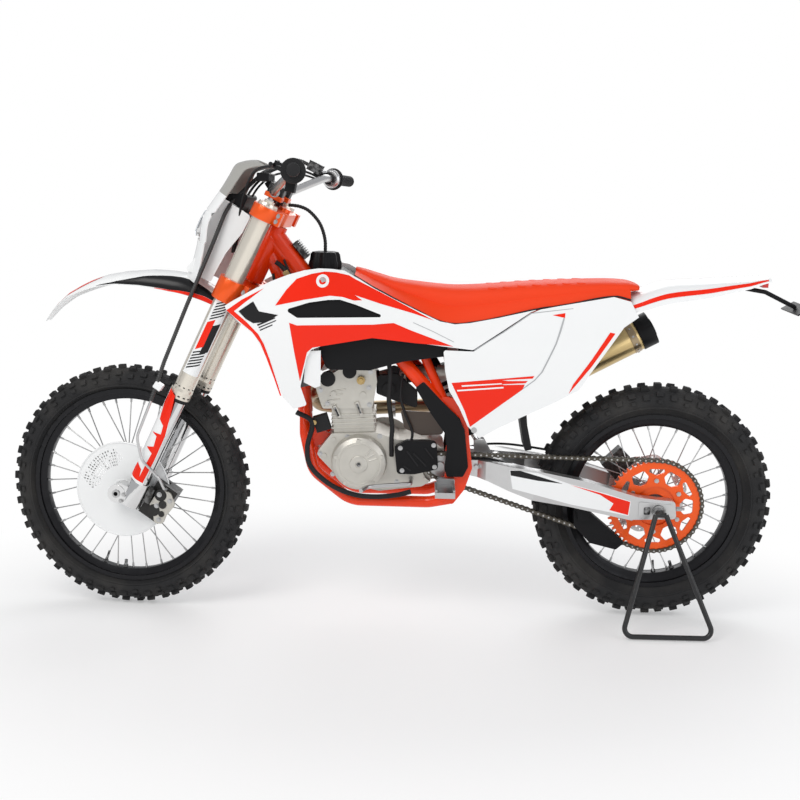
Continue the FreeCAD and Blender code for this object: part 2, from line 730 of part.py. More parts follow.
def levers():
    """Clutch and brake lever sets: clamp, perch and blade in front of each grip."""
    sets = []
    for side in (-1, 1):
        seat = Vec(97.2, side * 248, 1019.9)
        ahead = Vec(37, side * 185, 14.5).normalize()
        clamp = rod(17, seat, seat + ahead * 20)
        bore = rod(S.bar_radius + 0.15, seat - ahead * 20, seat + ahead * 50)
        perch = box(46, 28, 20, (72, side * 255, 1016))
        pivot = Vec(56, side * 262, 1014)
        blade = tube(5, [
            (pivot.x, pivot.y - side * 10, pivot.z), (46, side * 285, 1013, 20),
            (74, side * 400, 1020, 60), (78, side * 420, 1021)], "blade")
        sets.append(cut("lever_set", fuse("lever_solid", clamp, perch, blade), bore))
    reservoir = box(40, 36, 26, (50, 232, 1030))
    sets[1] = fuse("brake_set", sets[1], reservoir)
    node("levers", several("levers_pair", *sets), "steering")


def arch(x, z, half, rise, drop, wall, count=10):
    """Ring of a mudguard's cross-section at one station: a thin round-shouldered arch, open below."""
    def edge(spread, lift):
        run = []
        for k in range(count + 1):
            turn = math.pi * k / count
            across = -math.copysign(abs(math.cos(turn)) ** 0.7, math.cos(turn))
            run.append(Vec(x, spread * across, z - drop + (lift + drop) * math.sin(turn) ** 0.8))
        return run
    return edge(half, rise) + edge(half - wall, rise - wall)[::-1]


def front_fender():
    stations = [(-415, 326, 14, 0, 6), (-404, 372, 27, 1, 10), (-378, 428, 41, 2, 16), (-338, 480, 58, 4, 24),
                (-300, 518, 70, 5, 30), (-258, 549, 78, 5, 34), (-193, 585, 84, 5, 42), (-110, 618, 82, 3, 50),
                (-55, 626, 76, 0, 50), (10, 612, 70, 0, 46), (60, 592, 66, 0, 40), (98, 572, 58, 0, 34)]
    wall = float(S.panel_wall)
    shell = faceted("front_fender_shell", [arch(x, z - 3, half, rise, drop, wall)
                                           for x, z, half, rise, drop in stations])
    under = S.lower_clamp_z - S.lower_clamp_high / 2 - 0.3
    posts = [cylinder(9, under - 580, (x, y, 580)) for x in (46, 78) for y in (-36, 36)]
    node("front_fender", fuse("front_fender_solid", shell, *posts), "steering")


def headlight_mask():
    """Number plate style cowl with the headlight in its lower half."""
    outline = [(-57, 990, 0, 60), (-104, 956, 0, 62), (-112, 880, 0, 92), (-126, 790, 0, 104),
               (-110, 730, 0, 100), (-108, 690, 0, 92), (-124, 620, 0, 70)]
    rings = []
    for x, z, _, half in outline:
        bend = 42
        outer = []
        for k in range(-4, 5):
            share = k / 4
            outer.append(Vec(x + bend * abs(share) ** 2.4, half * share, z))
        rings.append(outer + [point + Vec(float(S.panel_wall), 0, 0) for point in reversed(outer)])
    shell = faceted("mask_shell", rings)
    opening = box(60, 120, 84, (-120, 0, 772))
    straps = [rod(5, (-84, side * 99, 750), (float(S.axle_lead - S.fork_outer) - 0.3, side * float(S.fork_spread), 750))
              for side in (-1, 1)]
    node("headlight_mask", fuse("headlight_mask_solid", cut("mask_opened", shell, opening), *straps), "steering")
    lens = box(8, 118, 82, (-116, 0, 772))
    bowl = box(54, 96, 66, (-86, 0, 772))
    node("headlight", fuse("headlight_solid", lens, bowl), "steering")


def front_hose():
    """Brake hose from the right lever's master cylinder down the left leg to the caliper."""
    route = [(29.6, 232, 1030), (-10, 232, 1030, 30), (-44, 60, 960, 60), (-62, -70, 850, 90),
             (-54, -80, 730, 90), (-46, -94, 560, 120), (-30, -128, 400, 80), (-14, -147, 290, 60),
             (-8, -147, 180, 40), (30, -147, 128, 40), (94, -144, 104, 24), (118, -126, 74, 16),
             (118, -95.1, 68)]
    node("front_brake_hose", tube(4, route, "front_hose"), "steering")


# Chassis


def frame_tubes(extra):
    """The frame's bent tubes, each with its radius and its run; extra widens them all."""
    runs = [
        (30, [at_fork(STEER_X, 0, 826), (-222, 0, 922, 80), (-60, 0, 818)]),
        (S.down_tube_radius, [at_fork(STEER_X, 0, 790), (*at_fork(172, 0, 700), 60), (-250, 0, 640, 90),
                              (-243, 0, 575)]),
    ]
    for side in (-1, 1):
        runs.append((S.cradle_radius, [
            (-243, side * 8, 600), (-240, side * 40, 520, 60), (-215, side * 62, 420, 70),
            (-110, side * 62, 336, 90), (110, side * 66, 336, 60), (166, side * 82, 352)]))
        runs.append((S.spar_radius, [
            (-90, side * 12, 842), (0, side * 62, 768, 60), (120, side * 92, 640, 60), (172, side * 92, 560)]))
        runs.append((13, [(76, side * 64, 784), (96, side * 68, 736, 30), (150, side * 88, 622)]))
    return [tube(radius + extra, run, "frame_tube") for radius, run in runs]


def main_frame():
    top = at_fork(STEER_X, 0, S.upper_clamp_z - S.upper_clamp_high / 2 - 6)
    bottom = at_fork(STEER_X, 0, S.lower_clamp_z + S.lower_clamp_high / 2 + 6)
    head = rod(S.head_radius, bottom, top, "head_tube")
    bore = rod(S.stem_radius + S.axle_gap, at_fork(STEER_X, 0, S.lower_clamp_z), at_fork(STEER_X, 0, S.upper_clamp_z))
    pieces = [head] + frame_tubes(0)
    for side in (-1, 1):
        plate = outline_body("pivot_plate", [
            (120, 640, 10), (150, 646, 10), (206, 634, 10), (218, 520, 20), (228, 446, 20), (208, 384, 14),
            (176, 340, 10), (150, 350, 10), (148, 400, 20), (162, 470, 20), (160, 540, 20)],
            side * 92 - 9, side * 92 + 9)
        pieces.append(plate)
    pieces.append(rod(13, (-246, 0, 640), (-120, 0, 862)))
    pieces.append(cross_rod(12, 160, 360, -92, 92))
    pieces.append(cross_rod(10, 122, 606, -92, 92))
    pieces.append(cross_rod(12, 76, 784, -76, 76))
    pieces.append(cross_rod(8, -140, 858, 0.3 - S.tank_lobe, S.tank_lobe - 0.3))
    for low in (-37, 30):
        pieces.append(outline_body("engine_mount", [(-194.24, 488.7), (-170.24, 520.3), (-214, 540, 6), (-244, 530),
                                                    (-240, 480), (-222, 478)], low, low + 7))
    pieces.append(outline_body("head_stay", [(-130.1, 716.3), (-110.1, 724.3), (-150, 775), (-190, 765), (-196, 740)],
                               -5, 5))
    for low in (0.7, 32.3):
        pieces.append(outline_body("shock_mount", [(70, 790, 6), (90, 786, 6), (110, 750, 10), (98, 730, 8),
                                                   (80, 746, 8)], low, low + 7))
    solid = fuse_in_turn("frame_solid", *pieces)
    pivot_hole = cross_rod(S.pivot_radius, S.pivot_x, S.pivot_z, -140, 140)
    node("main_frame", cut("main_frame_solid", solid, fuse("frame_bores", bore, pivot_hole)), "chassis")


def subframe():
    pieces = []
    for side in (-1, 1):
        pieces.append(tube(10, [(93.2, side * 64, 790), (200, side * 72, 814, 60), (420, side * 68, 858, 60),
                                (650, side * 52, 888)], "seat_rail"))
        pieces.append(tube(9, [(196, side * 73.6, 618), (300, side * 73.6, 690, 60), (552, side * 60, 864)],
                           "rail_strut"))
    pieces.append(cross_rod(8, 330, 842, -70, 70))
    pieces.append(cross_rod(8, 640, 888, -54, 54))
    node("subframe", fuse("subframe_solid", *pieces), "chassis")


BOLT_SPOTS = [(-184, 466), (-158, 512), (-2, 506), (-20, 378), (20, 384), (100, 404)]


def engine():
    cases = outline_body("engine_cases_block", [
        (-208, 470, 20), (-164, 528, 6), (-40, 534, 6), (20, 514, 20), (110, 520, 20), (150, 490, 20),
        (150, 420, 20), (90, 382, 20), (-30, 366, 20), (-130, 388, 20)], -70, 78)
    room = cross_rod(PINION_RADIUS + 16, S.pinion_x, S.pinion_z, -80, S.chain_y + 12)
    bolts = [cross_rod(6, x, z, -74, -68) for x, z in BOLT_SPOTS]
    seam = outline_body("case_seam", [(-212, 470, 20), (-166, 524, 6), (-60, 529, 6), (-60, 369, 20),
                                      (-134, 384, 20)], -4, 8)
    node("engine_cases", cut("engine_cases_solid", fuse("engine_cases_set", cases, seam, *bolts), room), "chassis")
    barrel = outline_body("cylinder_barrel", [(-158, 528.5), (-44, 534.2), (-52, 602), (-166, 598)], -58, 58)
    ribs = [box(122, 124, 4, (-105, 0, z), Rot(Vec(0, 1, 0), -3), "rib") for z in (545, 557, 569, 581)]
    node("cylinder", fuse("cylinder_solid", barrel, *ribs), "chassis")
    head = outline_body("cylinder_head_solid", [
        (-190, 597.5, 8), (-212, 664, 10), (-140, 712, 14), (-100, 728, 10), (-46, 722, 10), (-40, 676, 8),
        (-52, 602.4, 8)], -66, 66)
    plugs = [cross_rod(13, -118, 690, -70, 70), cross_rod(8, -160, 640, -70, 70), cross_rod(8, -78, 640, -70, 70)]
    node("cylinder_head", fuse("cylinder_head_set", head, *plugs), "chassis")
    left = [spun("ignition_cover", [(0, -108), (62, -108), (74, -100), (78, -70.2), (0, -70.2)],
                 S.crank_x, S.crank_z)]
    for k in range(5):
        angle = math.radians(72 * k + 20)
        left.append(cross_rod(5, float(S.crank_x) + 66 * math.cos(angle), float(S.crank_z) + 66 * math.sin(angle),
                              -109, -100))
    right = spun("clutch_cover", [(0, 78.2), (92, 78.2), (88, 104), (70, 110), (0, 110)], -20, 452)
    node("engine_covers", several("engine_covers_set", fuse("ignition_cover_set", *left), right), "chassis")
    sprocket_cover = outline_body("sprocket_cover_solid", [
        (12, 500, 10), (46, 520, 10), (128, 518, 14), (134, 440, 10), (70, 424, 10), (20, 424, 10)],
        -98, -80.2)
    foot = outline_body("sprocket_cover_foot", [
        (12, 500, 10), (44, 514, 10), (84, 514, 4), (84, 426, 4), (20, 426, 10)], -80.2, -70.2)
    node("sprocket_cover", fuse("sprocket_cover_set", sprocket_cover, foot), "chassis")
    teeth = int(float(S.pinion_teeth))
    made = part_object("Feature", "pinion_solid")
    shaft = Part.makeCylinder(13, 24, Vec(0, float(S.chain_y) + 11.8 - 24, 0), Vec(0, 1, 0))
    made.Shape = sprocket_shape(teeth, PINION_RADIUS, float(S.sprocket_thick), 0, float(S.chain_y)).fuse(shaft)
    node("pinion", put(made, (S.pinion_x, 0, S.pinion_z)), "chassis")


def carburettor():
    body = rod(27, (-33, 0, 668), (40, 0, 690))
    bowl = cylinder(24, 40, (6, 0, 636))
    boot = tube(21, [(36, 0, 689), (58, -6, 694, 30), (100, -39, 700, 30), (187.2, -39, 706)], "intake_boot")
    node("carburettor", fuse("carburettor_solid", body, bowl, boot), "chassis")


def exhaust():
    header = tube(20, [(-201.3, 46, 630.7), (-230, 46, 621.2, 24), (-232, 102, 598, 24), (-212, 130, 568, 26),
                       (-120, 137, 556, 60), (230, 137, 580, 60), (330.5, 104, 598.5, 60), (391.7, 104, 631.9)], "header")
    node("exhaust_header", header, "chassis")
    body = rod(46, (392, 104, 632), (700, 104, 800))
    hanger = rod(5, (610, 92, 780), (610, 58.6, 872.2))
    node("silencer", fuse("silencer_solid", body, hanger), "chassis")
    cap = rod(49, (700.3, 104, 800.2), (738, 104, 821))
    node("silencer_cap", cap, "chassis")


def radiators():
    cores = []
    for side in (-1, 1):
        core = box(32, 72, 232, (-264, side * 88, 782), Rot(Vec(0, 1, 0), -14))
        tilt = Rot(Vec(0, 1, 0), -14)
        grooves = []
        for k in range(9):
            spot = Vec(-264, side * 88, 782) + tilt.multVec(Vec(-15, 0, -96 + 24 * k))
            grooves.append(box(10, 60, 12, tuple(spot), tilt, "louvre_gap"))
        grille = cut("radiator_grille", core, fuse("radiator_grooves", *grooves))
        tab = rod(7, (-258, side * 60, 690), (-258, side * (float(S.down_tube_radius) + 0.3), 690))
        cores.append(fuse("radiator", grille, tab))
    node("radiators", several("radiators_pair", *cores), "chassis")


def fuel_tank():
    top = outline_body("tank_top", [
        (-262, 936, 20), (-236, 979, 14), (-144, 979, 14), (-60, 930, 20), (30, 872, 20), (58, 830, 10),
        (50, 790, 10), (-60, 868, 10), (-200, 880, 10)], -84, 84)
    lobes = []
    for side in (-1, 1):
        low, high = side * S.tank_lobe, side * (S.tank_lobe + 66)
        if side < 0:
            low, high = high, low
        lobes.append(outline_body("tank_lobe", [
            (-232, 900, 20), (-120, 950, 20), (50, 850, 10), (150, 790, 10), (150, 760, 10), (30, 742, 20),
            (-60, 716, 20), (-176, 716, 20), (-200, 780, 10)], low, high))
    solid = fuse("tank_block", top, *lobes)
    tunnel = outline_body("tank_tunnel", [(-340, 1040), (-222, 925), (-60, 818), (60, 730), (60, 600), (-400, 600)],
                          -34, 34)
    over_head = outline_body("tank_recess", [(-320, 600), (160, 600), (160, 738), (-320, 738)], -70, 70)
    between = outline_body("tank_saddle", [(-110, 872), (-70, 860), (10, 800), (24, 900), (170, 900), (170, 600),
                                           (-110, 600)], -98, 98)
    room = fuse("tank_room", tunnel, over_head, between, *frame_tubes(4))
    node("fuel_tank", cut("fuel_tank_solid", solid, room), "chassis")
    cap = cylinder(34, 28, (-190, 0, 979.2))
    grip = cylinder(44, 20, (-190, 0, 1006))
    hose = tube(4, [(-190, 0, 1024), (-196, 0, 1076, 30), (-222, 0, 1124, 30), (-258, 0, 1146, 20),
                    (-292, 0, 1150)], "breather")
    node("fuel_cap", fuse("fuel_cap_solid", cap, grip, hose), "chassis")


def seat():
    """Long narrow saddle: crowned rings whose top, foot and half width follow the side view and the plan."""
    stations = [
        (-104, 986, 969, 30), (-60, 974, 947, 42), (0, 957, 919, 56), (74, 948, 885, 68), (128, 943, 861, 74),
        (172, 941, 853, 78), (249, 945, 864, 82), (365, 955, 887, 82), (481, 962, 909, 81), (593, 966, 931, 77),
        (662, 962, 938.2, 68), (678, 950, 941.3, 58)]
    rings = []
    for x, top, foot, half in stations:
        deep = top - foot
        half = half * float(S.seat_half) / 82
        ring = [(0.94, foot), (1, foot + 0.35 * deep), (0.94, foot + 0.72 * deep), (0.76, top - 0.06 * deep),
                (0.4, top), (-0.4, top), (-0.76, top - 0.06 * deep), (-0.94, foot + 0.72 * deep),
                (-1, foot + 0.35 * deep), (-0.94, foot)]
        rings.append([Vec(x, half * across, z) for across, z in ring])
    node("seat", faceted("seat_solid", rings), "chassis")


def curved_sheet(name, side, stations, wall):
    """A curved wall that faces sideways; each station is (x, [(z, y), ...]) from its foot to its top."""
    rings = []
    for x, rows in stations:
        outer = [Vec(x, side * y, z) for z, y in rows]
        rings.append(outer + [Vec(x, side * (y - wall), z) for z, y in reversed(rows)])
    return faceted(name, rings)


def shrouds():
    outline = [
        (-444, 890, 4), (-418, 906), (-363, 937), (-320, 957), (-279, 973), (-235, 985), (-198, 990), (-165, 989),
        (-131, 985), (-87, 962), (-53, 942), (2, 914), (74, 880), (128, 856), (168, 849), (209, 853), (283, 867),
        (394, 892, 4), (372, 884), (218, 781, 4), (133, 790), (-56, 813), (-184, 787, 8), (-215, 775, 8),
        (-226, 755), (-244, 673), (-227, 621, 6), (-262, 611, 6), (-291, 642), (-332, 749), (-364, 812),
        (-400, 841), (-439, 878)]
    window = [(-285, 882, 6), (-221, 902), (-172, 909), (-140, 910), (-97, 897), (-14, 865, 4), (-252, 861, 6)]
    heights = (590, 700, 790, 860, 920, 1000)
    rows = [
        (-470, (156, 157, 158, 158, 156, 150)), (-300, (140, 148, 155, 157, 152, 132)),
        (-150, (128, 136, 143, 144, 134, 108)), (0, (126, 128, 134, 131, 119, 98)),
        (200, (126, 128, 130, 121, 106, 92)), (420, (120, 120, 118, 108, 96, 88))]
    stations = [(x, list(zip(heights, ys))) for x, ys in rows]
    pair = []
    for side in (-1, 1):
        low, high = sorted((side * 80, side * 180))
        sheet_wall = curved_sheet("shroud_sheet", side, stations, float(S.panel_wall))
        panel = common("shroud_panel", sheet_wall, outline_body("shroud_outline", outline, low, high))
        hole = outline_body("shroud_window", window, low - 2, high + 2)
        low, high = sorted((side * 112.3, side * 134.6))
        boss = cross_rod(7, -60, 840, low, high)
        pair.append(fuse("shroud", cut("shroud_opened", panel, hole), boss))
    node("shrouds", several("shrouds_pair", *pair), "chassis")


def side_panels():
    left = [(139, 779, 6), (145, 721), (157, 668), (186, 622), (210, 571), (242, 537, 6), (293, 567), (368, 604),
            (442, 640), (509, 677, 10), (536, 720), (623, 847), (662, 875), (640, 916, 6), (593, 928), (448, 901),
            (397, 891), (374, 881), (220, 777, 6)]
    right = [(139, 779, 6), (145, 721), (157, 668, 6), (200, 650, 6), (330, 700), (480, 775), (600, 850),
             (662, 885), (640, 916, 6), (593, 928), (448, 901), (397, 891), (374, 881), (220, 777, 6)]
    y = S.panel_y.value
    pair = []
    for side, outline in ((-1, left), (1, right)):
        low, high = sorted((side * (y - 2), side * (y + 1)))
        panel = outline_body("side_panel", outline, low, high)
        bosses = []
        for x, z, rail in ((300, 690, 82.9), (540, 873.7, 70.2)):
            low, high = sorted((side * rail, side * (y - 1)))
            bosses.append(cross_rod(7, x, z, low, high))
        pair.append(fuse("side_panel_set", panel, *bosses))
    node("side_panels", several("side_panels_pair", *pair), "chassis")


def rear_fender():
    stations = [(582, 912, 86, 0, 40), (640, 928, 90, 2, 44), (740, 958, 92, 6, 44), (860, 968, 86, 6, 34),
                (960, 976, 76, 5, 20), (1022, 984, 60, 2, 10)]
    wall = float(S.panel_wall)
    shell = faceted("rear_fender_shell", [arch(x, z - 2, half, rise, drop, wall)
                                          for x, z, half, rise, drop in stations])
    posts = [cylinder(7, 29.5, (640, y, 896.3)) for y in (-30, 30)]
    node("rear_fender", fuse("rear_fender_solid", shell, *posts), "chassis")
    node("tail_lamp", box(16, 80, 22, (1012, 0, 966.5)), "chassis")
    arm = tube(6, [(930, 0, 966), (960, 0, 950, 12), (1024, 0, 940, 20), (1110.4, 0, 898.8)], "plate_arm")
    plate = box(4, 150, 40, (1112, 0, 896), Rot(Vec(0, 1, 0), 60))
    post = cylinder(6, 12.6, (930, 0, 960))
    node("plate_bracket", fuse("plate_bracket_solid", arm, plate, post), "chassis")


def airbox():
    outline = [(176, 796, 10), (194, 690, 10), (262, 616, 20), (330, 650, 20), (380, 760, 20), (396, 846, 10),
               (240, 808, 10)]
    box_solid = outline_body("airbox_block", outline, -59, 57)
    pins = cross_rod(5, 292, 684.5, -64.3, 64.3)
    node("airbox", fuse("airbox_solid", box_solid, pins), "chassis")


def shock():
    y = 20
    top, low = Vec(96, y, 744), Vec(250, y, 490)
    ahead = (low - top).normalize()
    shaft = rod(9, top, low)
    body = rod(20, top + ahead * 20, low - ahead * 24)
    spring = rod(33, top + ahead * 56, top + ahead * 226)
    eyes = [cross_rod(13, spot.x, spot.z, y - 12, y + 12) for spot in (top, low)]
    node("shock_absorber", fuse("shock_solid", shaft, body, spring, *eyes), "chassis")


def swingarm():
    outline = [(186, 464, 8), (275, 464), (420, 443), (551, 418), (691, 377), (790, 368, 10), (796, 318, 10),
               (664, 313), (495, 347), (395, 362), (270, 410), (186, 428, 8)]
    arms = []
    for side in (-1, 1):
        low, high = sorted((side * 46, side * 120))
        profile = outline_body("arm_side", outline, low, high)
        plan = [(170, 50), (300, 50), (390, 84), (800, 84), (800, 118), (330, 116), (266, 96), (244, 80),
                (170, 80)]
        points = [Vec(x, side * y, 250) for x, y in plan]
        above = part_object("Feature", "arm_plan")
        above.Shape = Part.Face(Part.makePolygon(points + points[:1])).extrude(Vec(0, 0, 280))
        arms.append(common("arm", profile, above))
    cross = cross_rod(26, 300, 432, -60, 60)
    pivot_tube = cross_rod(18, S.pivot_x, S.pivot_z, -80, 80)
    ears = [outline_body("shock_ear", [(236, 504, 8), (264, 504, 8), (300, 440), (262, 420), (240, 440)], low, low + 7)
            for low in (0.7, 32.3)]
    neck = box(56, 60, 40, (268, 20, 436))
    solid = fuse("swingarm_block", *arms, cross, pivot_tube, *ears, neck)
    bores = fuse("swingarm_bores", cross_rod(S.rear_axle_radius, REAR_X, S.rear_tyre_outer, -140, 140),
                 cross_rod(S.pivot_radius, S.pivot_x, S.pivot_z, -140, 140))
    node("swingarm", cut("swingarm_solid", solid, bores), "chassis")
    bolt = cross_rod(S.pivot_radius, S.pivot_x, S.pivot_z, -106, 106)
    node("swingarm_pivot", bolt, "chassis")


def chain():
    """Chain loop: two side bands with a four-sided roller at every pitch."""
    y = float(S.chain_y)
    big = Vec(float(REAR_X), y, float(S.rear_tyre_outer))
    small = Vec(float(S.pinion_x), y, float(S.pinion_z))
    half = float(S.chain_half_height)

    def loop(grow, low, high):
        radii = (PITCH_RADIUS + grow, PINION_RADIUS + grow)
        gap = big - small
        tilt = math.atan2(gap.z, gap.x)
        spread = math.acos((radii[0] - radii[1]) / math.hypot(gap.x, gap.z))
        corners = []
        for centre, radius, first, last, count in (
                (big, radii[0], tilt + spread - math.pi, tilt + math.pi - spread, 20),
                (small, radii[1], tilt + math.pi - spread, tilt + math.pi + spread, 8)):
            for k in range(count + 1):
                angle = first + (last - first) * k / count
                corners.append(centre + Vec(math.cos(angle), 0, math.sin(angle)) * radius)
        face = polygon(*corners)
        face.translate(Vec(0, low - y, 0))
        return face.extrude(Vec(0, high - low, 0))

    bands = []
    inner, plate = float(S.chain_inner) / 2, float(S.chain_plate)
    for side in (-1, 1):
        low, high = sorted((y + side * inner, y + side * (inner + plate)))
        bands.append(loop(half, low, high).cut(loop(-half, low - 1, high + 1)))
    rollers = []
    for spot in roller_spots(big, small):
        corners = []
        for k in range(4):
            angle = math.radians(90 * k)
            corners.append(spot + Vec(math.cos(angle), 0, math.sin(angle)) * float(S.roller_radius)
                           - Vec(0, inner + plate / 2, 0))
        rollers.append(polygon(*corners).extrude(Vec(0, 2 * inner + plate, 0)))
    made = part_object("Feature", "chain_solid")
    made.Shape = bands[0].fuse(rollers + bands[1:])
    node("chain", made, "chassis")


def roller_spots(big, small):
    """Centres of the chain's rollers, a pitch apart, where the turning sprocket's teeth do not pass."""
    pitch = float(S.chain_pitch)

    def wrapped(centre, radius, teeth, low, high):
        step = 360 / teeth
        first, last = math.ceil(low / step), math.floor(high / step)
        spots = []
        for k in range(first, last + 1):
            angle = math.radians(k * step)
            spots.append(centre + Vec(math.cos(angle), 0, math.sin(angle)) * radius)
        return spots

    gap = big - small
    tilt = math.degrees(math.atan2(gap.z, gap.x))
    spread = math.degrees(math.acos((PITCH_RADIUS - PINION_RADIUS) / math.hypot(gap.x, gap.z)))
    rear = wrapped(big, PITCH_RADIUS, int(float(S.sprocket_teeth)), tilt - (180 - spread), tilt + (180 - spread))
    front = wrapped(small, PINION_RADIUS, int(float(S.pinion_teeth)), tilt + (180 - spread),
                    tilt + 180 + spread)
    spots = []
    for start, end in ((rear[-1], front[0]), (front[-1], rear[0])):
        run = end - start
        count = round(run.Length / pitch)
        spots += [start + run * (k / count) for k in range(1, count)]
    reach = TOOTH_TIP + float(S.roller_radius) + 1
    spots = [spot for spot in spots if (spot - small).Length > PINION_RADIUS + reach]
    return [spot for spot in front + spots if (spot - big).Length > PITCH_RADIUS + reach]


def chain_guide():
    outline = [(515, 330, 6), (560, 322, 6), (664, 236, 8), (640, 214, 8), (566, 232, 8), (520, 280, 8)]
    guide = outline_body("guide_block", outline, S.chain_y - 17.7, S.chain_y + 16)
    room = outline_body("guide_room", [(480, 310), (700, 240), (700, 208), (480, 278)], S.chain_y - 9, S.chain_y + 9)
    lug = outline_body("guide_lug", [(520, 341.6), (560, 333.6), (560, 300), (530, 300)], -94, S.chain_y - 17)
    node("chain_guide", fuse("chain_guide_set", cut("chain_guide_solid", guide, room), lug), "chassis")


def rear_axle():
    shaft = cross_rod(S.rear_axle_radius, REAR_X, S.rear_tyre_outer, -138, 138)
    nut = cross_rod(19, REAR_X, S.rear_tyre_outer, 118.3, 132)
    head = cross_rod(18, REAR_X, S.rear_tyre_outer, -128, -118.3)
    right = cross_rod(18, REAR_X, S.rear_tyre_outer, 64.5, 83.7)
    left = cross_rod(18, REAR_X, S.rear_tyre_outer, -83.7, -69.5)
    solid = fuse("rear_axle_shaft", shaft, nut, head, right, left)
    node("rear_axle", cut("rear_axle_solid", solid, cross_rod(S.axle_bore, REAR_X, S.rear_tyre_outer, -160, 160)),
         "chassis")


def rear_caliper():
    y = float(S.rear_disc_y)
    block = box(74, 42, 60, (float(REAR_X) - 90, y, 432), Rot(Vec(0, 1, 0), -45))
    slot = spun("rear_caliper_slot", [(30, y - 7), (S.rear_disc_outer + 5, y - 7),
                                      (S.rear_disc_outer + 5, y + 7), (30, y + 7)], REAR_X, S.rear_tyre_outer)
    node("rear_caliper", cut("rear_caliper_solid", block, slot), "chassis")


def foot_controls():
    pegs = []
    for side in (-1, 1):
        low, high = sorted((side * 101.3, side * 122))
        pegs.append(fuse("peg", box(54, 92, 16, (152, side * 168, 398)),
                         outline_body("peg_bracket", [(130, 420, 6), (180, 420, 6), (180, 376, 6), (130, 376, 6)],
                                      low, high)))
    node("foot_pegs", several("foot_pegs_pair", *pegs), "chassis")
    gear = tube(6, [(60, -70.2, 404), (58, -128, 404, 10), (-60, -134, 396, 30), (-76, -170, 394)], "gear_lever")
    pedal = tube(7, [(150, 101.3, 362), (140, 128, 362, 12), (-20, 136, 372, 40), (-40, 160, 378)], "brake_pedal")
    node("foot_levers", several("foot_levers_pair", gear, pedal), "chassis")


def frame_guards():
    outline = [(88, 634, 8), (130, 640, 8), (190, 588, 14), (205, 545, 14), (216, 452, 14), (202, 424, 6),
               (158, 424, 6), (150, 450, 14), (156, 500, 14), (154, 546, 14)]
    pair = []
    for side in (-1, 1):
        low, high = sorted((side * 111.3, side * 114.5))
        pair.append(outline_body("frame_guard", outline, low, high))
    node("frame_guards", several("frame_guards_pair", *pair), "chassis")


def rubber_flap():
    node("rubber_flap", outline_body("rubber_flap_solid", [
        (340.4, 672), (353.4, 700.6), (372, 640, 10), (380, 560, 10), (396, 490, 4), (376, 486, 4),
        (362, 560, 10), (350, 640, 10)], -50, 50),
        "chassis")


def paddock_stand():
    """Bent rod triangle on the floor whose top pin enters the rear axle; built in the floor frame."""
    top = LEANED.multVec(Vec(float(REAR_X), -142, float(S.rear_tyre_outer)))
    out = LEANED.Rotation.multVec(Vec(0, -1, 0))
    radius, half = float(S.stand_rod), float(S.stand_half_base)
    middle, side = top.x + float(S.stand_back), -float(S.stand_out)
    apex = top + out * 12
    frame = tube(S.stand_rod, [
        (apex.x - 14, apex.y, apex.z), (middle - half, side, radius, 22), (middle + half, side, radius, 22),
        (apex.x + 14, apex.y, apex.z)], "stand_frame")
    bridge = rod(S.stand_rod, apex + Vec(-14, 0, 0), apex + Vec(14, 0, 0))
    pin = rod(S.axle_bore - 0.3, apex, top - out * 30)
    solid = fuse("paddock_stand_solid", frame, bridge, pin)
    node("paddock_stand", solid, "floor")


def lowest(names, placement):
    """Lowest point of some pieces under a placement."""
    found = []
    for name in names:
        shape = NODES[name][0].Shape.copy()
        shape.Placement = placement[NODES[name][1]].multiply(shape.Placement)
        found.append(shape.BoundBox.ZMin)
    return min(found)


def carriers(base):
    """Placement of each carrier when the bike as a whole stands at a base placement."""
    fork_turn = Place(Vec(float(FRONT_X), 0, float(S.front_tyre_outer)), Rot(Vec(0, 1, 0), float(S.rake)))
    out = Place(Vec(float(STEER_X), 0, 0), Rot(Vec(0, 0, 1), -float(S.steer_rest)))
    back = Place(Vec(-float(STEER_X), 0, 0), Rot())
    steering = base.multiply(fork_turn).multiply(out).multiply(back)
    rear = base.multiply(Place(Vec(float(REAR_X), 0, float(S.rear_tyre_outer)), Rot()))
    return {"chassis": base, "steering": steering, "front_wheel": steering, "rear_wheel": rear,
            "floor": Place()}


def stood():
    """Lean the bike and set both tyres on the floor."""
    pitch = 0.0
    base = Place(Vec(0, 0, 0), Rot(Vec(1, 0, 0), float(S.lean)))
    for _ in range(3):
        places = carriers(base)
        front = lowest(["front_tyre"], places)
        rear = lowest(["rear_tyre"], places)
        pitch += math.degrees(math.atan2(rear - front, float(S.wheelbase)))
        turn = Rot(Vec(0, 1, 0), pitch).multiply(Rot(Vec(1, 0, 0), float(S.lean)))
        base = Place(Vec(0, 0, base.Base.z), turn)
        places = carriers(base)
        base.Base = base.Base - Vec(0, 0, lowest(["rear_tyre"], places))
    return base


front_wheel()
rear_wheel()
fork()
front_axle()
triple_clamps()
fork_guards()
disc_cover()
front_caliper()
handlebar()
bar_mounts()
grips()
levers()
front_fender()
headlight_mask()
front_hose()
main_frame()
subframe()
engine()
carburettor()
exhaust()
radiators()
fuel_tank()
seat()
shrouds()
side_panels()
rear_fender()
airbox()
shock()
swingarm()
chain()
chain_guide()
rear_axle()
rear_caliper()
foot_controls()
frame_guards()
rubber_flap()
doc.recompute()
LEANED = stood()
paddock_stand()
doc.recompute()

PLACES = carriers(LEANED)


